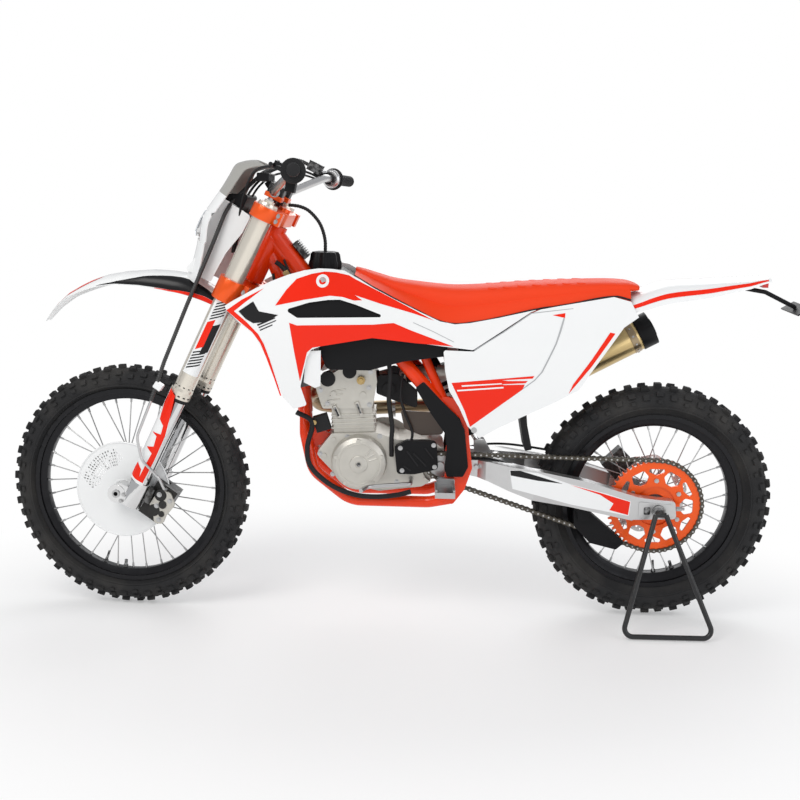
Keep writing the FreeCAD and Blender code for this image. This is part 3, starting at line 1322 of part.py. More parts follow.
def settle():
    """Move every node to its carrier and centre the whole on the floor."""
    for thing, carrier in NODES.values():
        for axis in "xyz":
            thing.setExpression(f"Placement.Base.{axis}", None)
        thing.Placement = PLACES[carrier].multiply(thing.Placement)
    doc.recompute()
    whole = FreeCAD.BoundBox()
    for thing, _ in NODES.values():
        whole.add(thing.Shape.BoundBox)
    shift = Place(Vec(-whole.Center.x, -whole.Center.y, -whole.ZMin), Rot())
    for thing, _ in NODES.values():
        thing.Placement = shift.multiply(thing.Placement)
    doc.recompute()
    return shift


SHIFT = settle()


def check():
    """Stop with every failed object named, before anything is written."""
    faults = [f"{thing.Label}: {thing.State}" for thing in doc.Objects
              if "Invalid" in thing.State or "Error" in thing.State]
    for label, (thing, _) in NODES.items():
        if thing.Shape.isNull() or not thing.Shape.isValid() or not thing.Shape.Solids:
            faults.append(f"{label} has no valid solid")
    if faults:
        raise RuntimeError("; ".join(faults))


check()
os.makedirs("parts", exist_ok=True)
for label, (thing, _) in NODES.items():
    thing.Shape.exportStep(f"parts/{label}.step")
print("nodes", len(NODES))
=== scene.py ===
"""Looks of a dirt bike that leans on its stand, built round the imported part.

Places are millimetres in frames read from the part. BIKE has X to the rear, Y to the bike's right and
Z up, with its origin on the floor midway between the axles. FORK has its origin at the front axle and
Z up the fork legs. REAR has its origin at the rear axle.
"""
import json
from math import acos, atan2, copysign, cos, degrees, pi, radians, sin, sqrt, tan

import bmesh
import bpy
from mathutils import Matrix, Vector
from mathutils.geometry import tessellate_polygon


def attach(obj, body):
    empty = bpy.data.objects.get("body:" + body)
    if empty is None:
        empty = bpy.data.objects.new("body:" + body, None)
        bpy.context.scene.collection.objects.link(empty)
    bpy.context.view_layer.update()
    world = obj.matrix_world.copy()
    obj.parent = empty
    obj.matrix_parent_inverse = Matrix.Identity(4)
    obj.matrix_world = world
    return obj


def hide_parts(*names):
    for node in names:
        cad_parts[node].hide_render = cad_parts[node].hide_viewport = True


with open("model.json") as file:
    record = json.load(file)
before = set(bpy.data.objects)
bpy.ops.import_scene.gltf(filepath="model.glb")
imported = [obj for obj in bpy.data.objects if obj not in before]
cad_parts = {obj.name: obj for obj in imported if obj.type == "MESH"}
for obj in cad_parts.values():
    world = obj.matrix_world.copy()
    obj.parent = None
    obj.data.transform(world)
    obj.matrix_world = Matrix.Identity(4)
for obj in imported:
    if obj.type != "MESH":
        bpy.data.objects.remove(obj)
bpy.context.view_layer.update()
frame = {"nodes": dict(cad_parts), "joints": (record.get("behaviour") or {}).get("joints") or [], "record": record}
JOINTS = {joint["name"]: joint for joint in frame["joints"]}
SIDES = (-1, 1)

# Sizes of the real bike, in millimetres
REAR_AXLE = (745, 0, 340)
CLAMP_LEAD = 44
FORK_SPREAD = 105
FORK_RADIUS = 27.5
CHAIN_Y = -66
CHAIN_PITCH = 15.875
SPROCKET_TEETH = 52
SPROCKET_RADIUS = CHAIN_PITCH / 2 / sin(pi / SPROCKET_TEETH)
PINION_RADIUS = CHAIN_PITCH / 2 / sin(pi / 14)
PINION_SPOT = (139, 442)


# Frames


def millimetres(origin, x, y, z):
    """Matrix from millimetres along three directions to metres in the row frame."""
    turn = Matrix((x, y, z)).transposed().to_4x4()
    return Matrix.Translation(origin) @ turn @ Matrix.Scale(0.001, 4)


def bike_frame():
    spin = JOINTS["rear_wheel_spin"]
    y = Vector(spin["axis"]).normalized()
    x = Vector((y.z, 0, -y.x)).normalized()
    x *= copysign(1, x.x)
    turned = millimetres(Vector(), x, y, x.cross(y))
    return Matrix.Translation(Vector(spin["pos_m"]) - turned @ Vector(REAR_AXLE)) @ turned


def fork_frame():
    y = Vector(JOINTS["front_wheel_spin"]["axis"]).normalized()
    z = Vector(JOINTS["steering"]["axis"]).normalized()
    return millimetres(Vector(JOINTS["front_wheel_spin"]["pos_m"]), y.cross(z), y, z)


BIKE = bike_frame()
FORK = fork_frame()
REAR = BIKE @ Matrix.Translation(Vector(REAR_AXLE))
PLACES = {"chassis": BIKE, "steering": FORK, "front_wheel": FORK, "rear_wheel": REAR}


# Points and paths


def evenly(count, start=0.0):
    """Angles of equal steps round a full turn."""
    return [start + 2 * pi * k / count for k in range(count)]


def spread(low, high, steps):
    return [low + (high - low) * k / steps for k in range(steps + 1)]


def around(radius, angle, x=0.0, z=0.0):
    """Flat point at a radius and an angle about a place."""
    return x + radius * cos(angle), z + radius * sin(angle)


def circle(x, z, radius, sides=16):
    return [around(radius, angle, x, z) for angle in evenly(sides)]


def spoke(radius, angle, y=0.0):
    """Point at a radius and an angle about the Y axis."""
    return Vector((radius * cos(angle), y, radius * sin(angle)))


def along(start, end):
    """Matrix whose Y axis runs from one point to another."""
    y = (Vector(end) - Vector(start)).normalized()
    x = y.orthogonal().normalized()
    return Matrix.Translation(start) @ Matrix((x, y, x.cross(y))).transposed().to_4x4()


def arc(before, spot, after, radius, step, room=None):
    """Arc that rounds the corner at a spot and uses at most a share of its sides."""
    back, ahead = before - spot, after - spot
    half = back.angle(ahead) / 2
    reach = radius / tan(half)
    if room:
        reach = min(reach, room * min(back.length, ahead.length))
    back, ahead = back.normalized(), ahead.normalized()
    middle = spot + (back + ahead).normalized() * (reach / cos(half))
    start, end = spot + back * reach - middle, spot + ahead * reach - middle
    count = max(2, int(degrees(pi - 2 * half) / step))
    size = reach * tan(half)
    return [middle + start.lerp(end, share).normalized() * size for share in spread(0, 1, count)]


def rounded(outline):
    """Closed flat outline whose corners (a, b, radius) become short arcs."""
    found = []
    for i, corner in enumerate(outline):
        before, spot, after = (Vector(outline[k % len(outline)][:2]) for k in (i - 1, i, i + 1))
        found += arc(before, spot, after, corner[2], 12, 0.48) if len(corner) > 2 else [spot]
    return found


def bent(points):
    """Open path of straight runs, with an arc at each point (x, y, z, radius)."""
    spots = [Vector(p[:3]) for p in points]
    path = spots[:1]
    for before, spot, after, point in zip(spots, spots[1:], spots[2:], points[1:]):
        path += arc(before, spot, after, point[3], 9) if len(point) > 3 else [spot]
    return path + spots[-1:]


def passing(a, b, c, d, s):
    """Smooth curve from b to c, with a before them and d after."""
    return 0.5 * (2 * b + (c - a) * s + (2 * a - 5 * b + 4 * c - d) * s ** 2
                  + (3 * b - a - 3 * c + d) * s ** 3)


def flowing(points, steps=8):
    """Smooth path through points, for hoses and cables."""
    spots = [Vector(p) for p in points]
    spots = [2 * spots[0] - spots[1], *spots, 2 * spots[-1] - spots[-2]]
    runs = zip(spots, spots[1:], spots[2:], spots[3:])
    return [passing(*run, k / steps) for run in runs for k in range(steps)] + [spots[-2]]


def knot_at(knots, at):
    """Index of the last knot before a place, and the share of the way to the next."""
    at = min(max(at, knots[0]), knots[-1])
    i = max(k for k in range(len(knots) - 1) if knots[k] <= at)
    return i, (at - knots[i]) / (knots[i + 1] - knots[i])


def smooth_at(knots, values, at):
    i, share = knot_at(knots, at)
    before, after = values[max(i - 1, 0)], values[min(i + 2, len(values) - 1)]
    return passing(before, values[i], values[i + 1], after, share)


def between(stations, x):
    """Values at a place, on smooth curves through stations (place, value, value and so on)."""
    places, *columns = zip(*stations)
    return [smooth_at(places, column, x) for column in columns]


def table(xs, zs, rows):
    """Smooth surface through a grid of heights."""
    def surface(x, z):
        return smooth_at(xs, [smooth_at(zs, row, z) for row in rows], x)
    return surface


# Mesh making


def meshes(count):
    return [bmesh.new() for k in range(count)]


def add_rings(bm, rings, loop=False):
    """Quads between rings of equally many points, closed as a loop or with a face at each end."""
    rows = [[bm.verts.new(p) for p in ring] for ring in rings]
    for low, high in zip(rows, rows[1:] + rows[:loop]):
        for i in range(len(low)):
            j = (i + 1) % len(low)
            bm.faces.new((low[i], low[j], high[j], high[i]))
    if not loop:
        bm.faces.new(rows[0][::-1])
        bm.faces.new(rows[-1])


def add_quads(bm, rows, flip=False):
    """Open sheet between rows of points."""
    rows = [[bm.verts.new(p) for p in row] for row in rows]
    for a, b in zip(rows, rows[1:]):
        for n in range(len(a) - 1):
            bm.faces.new((a[n], a[n + 1], b[n + 1], b[n])[::-1 if flip else 1])


def add_tube(bm, path, radius, sides=14):
    """Round tube along a path; radius is a number or one for each point."""
    radii = radius if isinstance(radius, list) else [radius] * len(path)
    ahead = (path[1] - path[0]).normalized()
    across = ahead.orthogonal().normalized()
    rings = []
    for before, spot, after, reach in zip(path[:1] + path, path, path[1:] + path[-1:], radii):
        turned = (after - before).normalized()
        across = (ahead.rotation_difference(turned) @ across).normalized()
        ahead = turned
        other = ahead.cross(across)
        rings.append([spot + (across * cos(a) + other * sin(a)) * reach for a in evenly(sides)])
    add_rings(bm, rings)


def add_rod(bm, start, end, radius, sides=18, far_radius=None):
    add_tube(bm, [Vector(start), Vector(end)], [radius, far_radius or radius], sides)


def add_pins(bm, spots, y_from, y_to, radius, sides):
    """Round or many-sided pins across the bike."""
    for x, z in spots:
        add_rod(bm, (x, y_from, z), (x, y_to, z), radius, sides)


def add_bolts(bm, spots, y, side, radius, high=5.0):
    """Hexagon bolts with washers, on a face across the bike."""
    for x, z in spots:
        add_pins(bm, [(x, z)], y - side * 1.5, y + side * 1.2, radius * 1.45, 20)
        add_pins(bm, [(x, z)], y + side * 1.2, y + side * high, radius, 6)


def add_turned(bm, profile, sides=96, place=Matrix()):
    """Closed profile of (radius, y) points turned about the Y axis."""
    add_rings(bm, [[place @ spoke(r, angle, y) for r, y in profile] for angle in evenly(sides)], loop=True)


def add_box(bm, centre, size, lean=0.0):
    """Box tipped about the Y axis by some degrees."""
    turn = Matrix.Rotation(radians(lean), 4, "Y")
    a, b, c = Vector(size) / 2
    corners = [Vector((x, y, z)) for x in (-a, a) for y in (-b, b) for z in (-c, c)]
    v = [bm.verts.new(Vector(centre) + turn @ corner) for corner in corners]
    for face in ((0, 1, 3, 2), (4, 6, 7, 5), (0, 4, 5, 1), (2, 3, 7, 6), (0, 2, 6, 4), (1, 5, 7, 3)):
        bm.faces.new([v[i] for i in face])


def add_plate(bm, outlines, y_from, y_to):
    """Plate between two planes across the bike; the outlines after the first are holes."""
    loops = [[Vector((p[0], 0, p[1])) for p in outline] for outline in outlines]
    near, far = ([bm.verts.new((p.x, y, p.z)) for loop in loops for p in loop] for y in (y_from, y_to))
    for a, b, c in tessellate_polygon(loops):
        bm.faces.new((near[a], near[b], near[c]))
        bm.faces.new((far[c], far[b], far[a]))
    first = 0
    for loop in loops:
        for i in range(len(loop)):
            a, b = first + i, first + (i + 1) % len(loop)
            bm.faces.new((near[a], near[b], far[b], far[a]))
        first += len(loop)


def add_plates(bm, outlines, inner, outer):
    """The same plate on both sides of the bike."""
    add_plate(bm, outlines, -outer, -inner)
    add_plate(bm, outlines, inner, outer)


def add_patch(bm, point, s_range, u_range, steps):
    """Open sheet over a surface point(s, u)."""
    add_quads(bm, [[point(s, u) for u in spread(*u_range, steps[1])] for s in spread(*s_range, steps[0])])


def add_skin(bm, outlines, surface, side, step=16, lift=0.0):
    """Open sheet whose side view is an outline with holes and whose Y follows a surface."""
    loops = [[Vector((p[0], 0, p[1])) for p in outline] for outline in outlines]
    flat = [p for loop in loops for p in loop]
    sheet = bmesh.new()
    verts = [sheet.verts.new(p) for p in flat]
    for corners in tessellate_polygon(loops):
        sheet.faces.new([verts[k] for k in corners])
    for axis in (0, 2):
        normal = Vector((axis == 0, 0, axis == 2))
        at = min(p[axis] for p in flat) + step * 0.5
        while at < max(p[axis] for p in flat):
            geom = sheet.verts[:] + sheet.edges[:] + sheet.faces[:]
            bmesh.ops.bisect_plane(sheet, geom=geom, plane_co=normal * at, plane_no=normal, dist=1e-4)
            at += step
    bmesh.ops.remove_doubles(sheet, verts=sheet.verts, dist=0.02)
    for v in sheet.verts:
        v.co.y = side * (surface(v.co.x, v.co.z) + lift)
    sheet.normal_update()
    if sum(f.normal.y * f.calc_area() for f in sheet.faces) * side < 0:
        bmesh.ops.reverse_faces(sheet, faces=sheet.faces)
    mesh = new_mesh("sheet", sheet)
    bm.from_mesh(mesh)
    bpy.data.meshes.remove(mesh)


def new_mesh(name, bm):
    mesh = bpy.data.meshes.new(name)
    bm.to_mesh(mesh)
    bm.free()
    return mesh


def new_object(name, data):
    made = bpy.data.objects.new(name, data)
    bpy.context.scene.collection.objects.link(made)
    return made


def round_edges(made, width, limit):
    """Small round edges where faces meet at more than some degrees."""
    edge = made.modifiers.new("edge", "BEVEL")
    edge.width = width / 1000
    edge.segments = 2
    edge.limit_method = "ANGLE"
    edge.angle_limit = radians(limit)
    edge.harden_normals = True


def piece(name, bm, material, body="chassis", stands_for=(), wall=0.0, bevel=0.0, angle=38, subdivide=0):
    """Turn a mesh in millimetres into a finished object that rides on a body."""
    if wall:
        bm.normal_update()
        bmesh.ops.solidify(bm, geom=bm.faces[:], thickness=wall)
    if all(e.is_manifold for e in bm.edges):
        bmesh.ops.recalc_face_normals(bm, faces=bm.faces)
    bm.transform(PLACES[body])
    mesh = new_mesh(name, bm)
    for polygon in mesh.polygons:
        polygon.use_smooth = True
    mesh.set_sharp_from_angle(angle=radians(angle))
    mesh.materials.append(MATERIALS[material])
    made = new_object(name, mesh)
    if subdivide:
        smooth = made.modifiers.new("smooth", "SUBSURF")
        smooth.levels = smooth.render_levels = subdivide
    if bevel:
        round_edges(made, bevel, 40)
    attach(made, body)
    if stands_for:
        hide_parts(*stands_for)
    return made


# Node groups for finishes


def add_node(tree, kind, feeds=(), **settings):
    """New node; feeds pair its inputs with values or with other nodes' outputs."""
    made = tree.nodes.new("ShaderNode" + kind)
    for key, value in settings.items():
        setattr(made, key, value)
    for key, value in dict(feeds).items():
        if isinstance(value, bpy.types.NodeSocket):
            tree.links.new(value, made.inputs[key])
        else:
            made.inputs[key].default_value = value
    return made


def maths(tree, operation, *values, clamp=False):
    return add_node(tree, "Math", enumerate(values), operation=operation, use_clamp=clamp).outputs[0]


def ramp(tree, value, low, high):
    """Value stretched from a range to 0 and 1."""
    return add_node(tree, "MapRange", enumerate((value, low, high))).outputs[0]


def rest_place(tree):
    return add_node(tree, "TexCoord").outputs["Object"]


def noise(tree, scale, detail, spot=None):
    """Noise over the surface, in metres."""
    spot = spot or rest_place(tree)
    return add_node(tree, "TexNoise", {"Detail": detail, "Vector": spot, "Scale": scale}).outputs["Fac"]


def new_group(name, result, **given):
    """Node group with one result: its tree, its given sockets by name, and the place of its result."""
    tree = bpy.data.node_groups.new(name, "ShaderNodeTree")
    for label, value in given.items():
        kind = {3: "Vector", 4: "Color"}[len(value)] if isinstance(value, tuple) else "Float"
        socket = tree.interface.new_socket(label, in_out="INPUT", socket_type="NodeSocket" + kind)
        socket.default_value = value
    kind = "Color" if result == "Color" else "Float"
    tree.interface.new_socket(result, in_out="OUTPUT", socket_type="NodeSocket" + kind)
    return tree, tree.nodes.new("NodeGroupInput").outputs, tree.nodes.new("NodeGroupOutput").inputs[0]


def uneven_colour():
    """Cloudy change of lightness over a surface."""
    tree, given, result = new_group("uneven colour", "Color", Color=(0.5, 0.5, 0.5, 1), Amount=0.1,
                                    Scale=20.0)
    drift = maths(tree, "SUBTRACT", noise(tree, given["Scale"], 4.0), 0.5)
    value = maths(tree, "MULTIPLY_ADD", drift, given["Amount"], 1.0)
    shade = add_node(tree, "HueSaturation", {"Value": value, "Color": given["Color"]})
    tree.links.new(shade.outputs["Color"], result)
    return tree


def uneven_gloss():
    """Roughness that drifts, with faint handling marks."""
    tree, given, result = new_group("uneven gloss", "Roughness", Roughness=0.4, Amount=0.1, Scale=12.0)
    drift = maths(tree, "SUBTRACT", noise(tree, given["Scale"], 6.0), 0.5)
    tree.links.new(maths(tree, "MULTIPLY_ADD", drift, given["Amount"], given["Roughness"], clamp=True),
                   result)
    return tree


def fine_grain():
    """Height of a moulded, cast or pebbled skin: fine grain over a slower swell."""
    tree, given, result = new_group("fine grain", "Height", Scale=900.0, Swell=0.3)
    fine = noise(tree, given["Scale"], 2.0)
    tree.links.new(maths(tree, "MULTIPLY_ADD", noise(tree, 24.0, 1.0), given["Swell"], fine), result)
    return tree


def cell_grain():
    """Height of small raised cells, as on embossed vinyl."""
    tree, given, result = new_group("cell grain", "Height", Scale=500.0)
    cells = add_node(tree, "TexVoronoi", {"Vector": rest_place(tree)}, feature="DISTANCE_TO_EDGE")
    tree.links.new(given["Scale"], cells.inputs["Scale"])
    tree.links.new(ramp(tree, cells.outputs["Distance"], 0.0, 0.18), result)
    return tree


def brushed():
    """Height of fine lines along one direction."""
    tree, given, result = new_group("brushed lines", "Height", Stretch=(1.0, 1.0, 0.02), Scale=900.0)
    pulled = add_node(tree, "VectorMath", {0: rest_place(tree), 1: given["Stretch"]}, operation="MULTIPLY")
    tree.links.new(noise(tree, given["Scale"], 2.0, pulled.outputs[0]), result)
    return tree


def worn_edges():
    """Mask of rubbed edges, broken up by noise."""
    tree, given, result = new_group("worn edges", "Mask", Amount=0.5)
    edge = ramp(tree, add_node(tree, "NewGeometry").outputs["Pointiness"], 0.53, 0.62)
    patchy = maths(tree, "MULTIPLY", edge, ramp(tree, noise(tree, 90.0, 5.0), 0.42, 0.62))
    tree.links.new(maths(tree, "MULTIPLY", patchy, given["Amount"], clamp=True), result)
    return tree


def dry_dust():
    """Mask of dry dust that gathers in patches."""
    tree, given, result = new_group("dry dust", "Mask", Amount=0.3)
    patches = ramp(tree, noise(tree, 9.0, 8.0), 0.45, 0.8)
    tree.links.new(maths(tree, "MULTIPLY", patches, given["Amount"], clamp=True), result)
    return tree


GROUPS = {"colour": uneven_colour(), "gloss": uneven_gloss(), "grain": fine_grain(), "cells": cell_grain(),
          "brushed": brushed(), "edges": worn_edges(), "dust": dry_dust()}
DUST_COLOUR = (0.42, 0.38, 0.32, 1)
MATERIALS = {}


def placed(tree, key, **values):
    """A group placed in a material with its own values; gives its result."""
    made = tree.nodes.new("ShaderNodeGroup")
    made.node_tree = GROUPS[key]
    for label, value in values.items():
        made.inputs[label].default_value = value
    return made.outputs[0]


def finish(name, colour, rough, metal=0.0, relief="grain", grain=900, bump=0.1, depth=0.0002, vary=0.1,
           cloud=20, uneven=0.12, worn=0.0, bare=(0.5, 0.5, 0.5), dust=0.0, coat=0.0, clear=0.0,
           specular=0.5):
    """One finished material: colour, gloss, relief, wear and dust from the shared groups."""
    material = bpy.data.materials.new(name)
    material.use_nodes = True
    tree = material.node_tree
    shader = tree.nodes["Principled BSDF"].inputs
    shader["Metallic"].default_value = metal
    shader["Coat Weight"].default_value = coat
    shader["Coat Roughness"].default_value = 0.08
    shader["Specular IOR Level"].default_value = specular
    shader["Transmission Weight"].default_value = clear
    tint = placed(tree, "colour", Color=(*colour, 1), Amount=vary, Scale=cloud)
    for key, amount, over in (("edges", worn, (*bare, 1)), ("dust", dust, DUST_COLOUR)):
        if amount:
            feeds = {0: placed(tree, key, Amount=amount), 6: tint, 7: over}
            tint = add_node(tree, "Mix", feeds, data_type="RGBA").outputs[2]
    tree.links.new(tint, shader["Base Color"])
    tree.links.new(placed(tree, "gloss", Roughness=rough, Amount=uneven), shader["Roughness"])
    height = placed(tree, relief, Scale=grain)
    raised = add_node(tree, "Bump", {"Strength": bump, "Distance": depth, "Height": height})
    tree.links.new(raised.outputs["Normal"], shader["Normal"])
    MATERIALS[name] = material


# Name, colour, roughness, metal, kind of relief, its scale and its strength, then what is special
finish("tyre_rubber", (0.02, 0.02, 0.021), 0.74, 0, "grain", 1400, 0.35, vary=0.35, cloud=60, dust=0.07,
       specular=0.25)
finish("black_rim", (0.012, 0.012, 0.014), 0.32, 0.6, "brushed", 500, 0.04, worn=0.5)
finish("grey_hub", (0.30, 0.30, 0.31), 0.34, 0.9, "grain", 700, 0.12, worn=0.3, bare=(0.7, 0.7, 0.7))
finish("disc_steel", (0.62, 0.61, 0.6), 0.26, 1, "brushed", 900, 0.12)
finish("orange_anodised", (0.9, 0.10, 0.004), 0.3, 0.4, "brushed", 900, 0.06, vary=0.12, coat=0.2)
finish("pale_fork", (0.76, 0.71, 0.62), 0.24, 0.65, "brushed", 700, 0.05, vary=0.06, coat=0.3)
finish("fork_chrome", (0.72, 0.72, 0.72), 0.08, 1, "brushed", 900, 0.02, vary=0.04, uneven=0.06)
finish("axle_steel", (0.5, 0.5, 0.5), 0.3, 1, "brushed", 900, 0.1, worn=0.2)
finish("white_plastic", (0.86, 0.87, 0.87), 0.24, 0, "grain", 260, 0.03, vary=0.02, uneven=0.08, coat=0.2)
finish("caliper_dark", (0.035, 0.034, 0.033), 0.42, 0.7, "grain", 900, 0.3, worn=0.8, bare=(0.4, 0.4, 0.4))
finish("bar_alloy", (0.6, 0.6, 0.6), 0.3, 1, "brushed", 700, 0.08)
finish("black_rubber", (0.012, 0.012, 0.013), 0.62, 0, "grain", 1500, 0.3, vary=0.3, specular=0.3)
finish("black_metal", (0.016, 0.016, 0.017), 0.36, 0.5, "grain", 900, 0.12, worn=0.7)
finish("lamp_lens", (0.8, 0.83, 0.86), 0.05, 0, "grain", 90, 0.05, vary=0.02, uneven=0.03, clear=0.85)
finish("hose_grey", (0.03, 0.03, 0.03), 0.4, 0, "grain", 1600, 0.2, vary=0.2)
finish("orange_frame", (0.84, 0.042, 0.002), 0.26, 0, "grain", 320, 0.05, vary=0.08, coat=0.15, specular=0.35)
finish("engine_alloy", (0.58, 0.56, 0.51), 0.42, 0.65, "grain", 1100, 0.5, 0.0003, vary=0.22, cloud=35,
       worn=0.5, bare=(0.62, 0.62, 0.6), dust=0.08)
finish("black_plastic", (0.007, 0.007, 0.008), 0.45, 0, "grain", 1300, 0.35, vary=0.25, specular=0.16)
finish("header_steel", (0.4, 0.31, 0.2), 0.3, 1, "brushed", 700, 0.06, vary=0.4, cloud=14)
finish("gold_silencer", (0.56, 0.42, 0.2), 0.3, 0.95, "brushed", 600, 0.1)
finish("radiator_alloy", (0.1, 0.1, 0.1), 0.45, 0.8, "brushed", 900, 0.2)
finish("seat_vinyl", (0.86, 0.05, 0.006), 0.55, 0, "cells", 620, 0.3, 0.0004, vary=0.06, cloud=14,
       specular=0.25)
finish("red_lens", (0.62, 0.012, 0.01), 0.1, 0, "grain", 200, 0.05, vary=0.05, coat=0.5)
finish("spring_white", (0.72, 0.72, 0.7), 0.3, 0, "grain", 500, 0.05, vary=0.05, coat=0.2)
finish("silver_swingarm", (0.6, 0.6, 0.6), 0.32, 0.9, "brushed", 500, 0.1, vary=0.12, worn=0.3,
       bare=(0.8, 0.8, 0.8))
finish("chain_steel", (0.1, 0.09, 0.075), 0.36, 0.95, "grain", 1500, 0.15, vary=0.3, cloud=120)
finish("stand_black", (0.014, 0.014, 0.015), 0.36, 0, "grain", 700, 0.15, vary=0.2, worn=0.2,
       bare=(0.2, 0.18, 0.16))
finish("red_film", (0.85, 0.018, 0.001), 0.26, 0, "grain", 260, 0.02, vary=0.04, uneven=0.05, specular=0.28)
finish("black_film", (0.006, 0.006, 0.007), 0.28, 0, "grain", 260, 0.02, uneven=0.05, specular=0.3)
finish("white_film", (0.86, 0.87, 0.87), 0.24, 0, "grain", 260, 0.02, vary=0.02, uneven=0.05, coat=0.2)
# Grey film along the joints and creases of the flanks: painted shade
finish("crease_shade_film", (0.42, 0.43, 0.44), 0.5, 0, "grain", 260, 0.02, uneven=0.05)
finish("nylon_brown", (0.05, 0.03, 0.018), 0.3, 0, "grain", 300, 0.1, vary=0.3, coat=0.2)
finish("brass", (0.5, 0.36, 0.16), 0.35, 0.9, "grain", 900, 0.2, vary=0.2)
finish("smoked_screen", (0.36, 0.355, 0.33), 0.25, 0, "grain", 300, 0.03, vary=0.05, coat=0.3)


def dress_cad():
    """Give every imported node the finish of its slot."""
    for row in frame["record"]["subparts"]:
        materials = frame["nodes"][row["node"]].data.materials
        materials.clear()
        materials.append(MATERIALS[row["material_slot"]])


# Studio


def studio():
    """Soft world that shows white behind the bike, and three lamps."""
    scene = bpy.context.scene
    scene.view_settings.view_transform = "Standard"
    world = bpy.data.worlds.new("studio")
    scene.world = world
    world.use_nodes = True
    tree = world.node_tree
    tree.nodes.clear()
    soft = add_node(tree, "Background", {"Color": (0.96, 0.97, 1, 1), "Strength": 0.54})
    white = add_node(tree, "Background", {"Color": (1, 1, 1, 1), "Strength": 1.0})
    seen = add_node(tree, "LightPath").outputs
    direct = maths(tree, "MAXIMUM", seen["Is Camera Ray"], seen["Is Transmission Ray"])
    mix = add_node(tree, "MixShader", {0: direct, 1: soft.outputs[0], 2: white.outputs[0]})
    add_node(tree, "OutputWorld", {"Surface": mix.outputs[0]})
    aim = Vector((0, 0, 0.55))
    for name, spot, power, size, tint in (("key", (-1.5, -2.4, 3.2), 62, 2.0, (1, 0.985, 0.96)),
                                          ("fill", (2.8, -2.2, 1.6), 24, 2.2, (0.95, 0.97, 1)),
                                          ("back", (0.6, 3.0, 2.8), 46, 2.6, (1, 1, 1))):
        lamp = bpy.data.lights.new(name, "AREA")
        lamp.energy = power
        lamp.size = size
        lamp.color = tint
        holder = new_object(name, lamp)
        holder.location = spot
        holder.rotation_euler = (aim - Vector(spot)).to_track_quat("-Z", "Y").to_euler()


def floor():
    """Pale floor that fades to white away from the bike and keeps its shadow."""
    bm = bmesh.new()
    bm.faces.new([bm.verts.new((x, y, 0)) for x, y in ((-14, -14), (14, -14), (14, 14), (-14, 14))])
    made = new_object("floor", new_mesh("floor", bm))
    material = bpy.data.materials.new("floor")
    material.use_nodes = True
    tree = material.node_tree
    shader = tree.nodes["Principled BSDF"]
    shader.inputs["Base Color"].default_value = (0.94, 0.94, 0.94, 1)
    shader.inputs["Roughness"].default_value = 0.6
    glow = add_node(tree, "Emission", {"Color": (1, 1, 1, 1), "Strength": 1.0})
    far = add_node(tree, "VectorMath", {0: rest_place(tree)}, operation="LENGTH")
    fade = add_node(tree, "MapRange", {0: far.outputs["Value"], 1: 0.8, 2: 1.7, 3: 0.3},
                    interpolation_type="SMOOTHSTEP")
    mix = add_node(tree, "MixShader", {0: fade.outputs[0], 1: shader.outputs[0], 2: glow.outputs[0]})
    tree.links.new(mix.outputs[0], tree.nodes["Material Output"].inputs["Surface"])
    made.data.materials.append(material)


def camera():
    """Camera at the photograph's angle."""
    elevation, yaw, roll = radians(6.54), radians(0.66), radians(1.21)
    distance, zoom = 3.319, 52.02
    target = Vector((BIKE.translation.x + 0.0229, BIKE.translation.y, 0.6073))
    back = Vector((sin(yaw) * cos(elevation), -cos(yaw) * cos(elevation), sin(elevation)))
    right = Vector((0, 0, 1)).cross(back).normalized()
    up = back.cross(right)
    turned = Matrix((cos(roll) * right + sin(roll) * up, cos(roll) * up - sin(roll) * right, back))
    lens = bpy.data.cameras.new("camera")
    lens.lens = zoom
    lens.sensor_width = 36
    made = new_object("camera", lens)
    made.matrix_world = Matrix.Translation(target + back * distance) @ turned.transposed().to_4x4()
    bpy.context.scene.camera = made


# Wheels


def knobbly_tyre(name, body, half, core, rise, flange, bead, rows):
    """Carcass turned about the axle, with blocks of rubber in alternating rows."""
    bm = bmesh.new()
    lug = 11

    def tread(lean, extra=0.0):
        """Radius and Y on the tread, some degrees from the crown and a little above it."""
        turn = radians(lean)
        out = Vector((cos(turn) / rise, sin(turn) / half)).normalized() * extra
        return core + rise * cos(turn) + out.x, half * sin(turn) + out.y

    wall = [(core - 12, half - 3.2), (core - 14, half - 1.2), (core - 17, half - 1.6), (core - 18, half - 4),
            (flange + 2, bead), (flange - 9, bead - 1), (flange - 9, bead - 8), (flange + 12, bead - 7),
            (core, half - 9), (core + rise - 10, 0.4 * half)]
    add_turned(bm, [*map(tread, range(-96, 97, 8)), *wall, *((r, -y) for r, y in wall[::-1])], 128)
    patterns = (((-13, 13, 0.46), (46, 66, 0.5), (-66, -46, 0.5), (78, 92, 0.34), (-92, -78, 0.34)),
                ((19, 39, 0.5), (-39, -19, 0.5), (58, 80, 0.46), (-80, -58, 0.46)))
    for row, middle in enumerate(evenly(rows, pi / rows)):
        for low, high, length in patterns[row % 2]:
            reach = 1.1 * length * pi / rows
            towards = (low + high) / 2
            tall = lug if abs(towards) < 55 else 0.6 * lug
            rings = []
            for extra, inset in ((-2.0, 0.0), (0.75 * tall, 0.09), (tall, 0.16)):
                rings.append([])
                for lean, edge in ((low, 1), (high, 1), (high, -1), (low, -1)):
                    r, y = tread(lean + (towards - lean) * inset, extra)
                    rings[-1].append(spoke(r, middle + edge * reach * (1 - inset), y))
            add_rings(bm, rings)
    piece(f"{name}_knobbly", bm, "tyre_rubber", body, [name], angle=30)


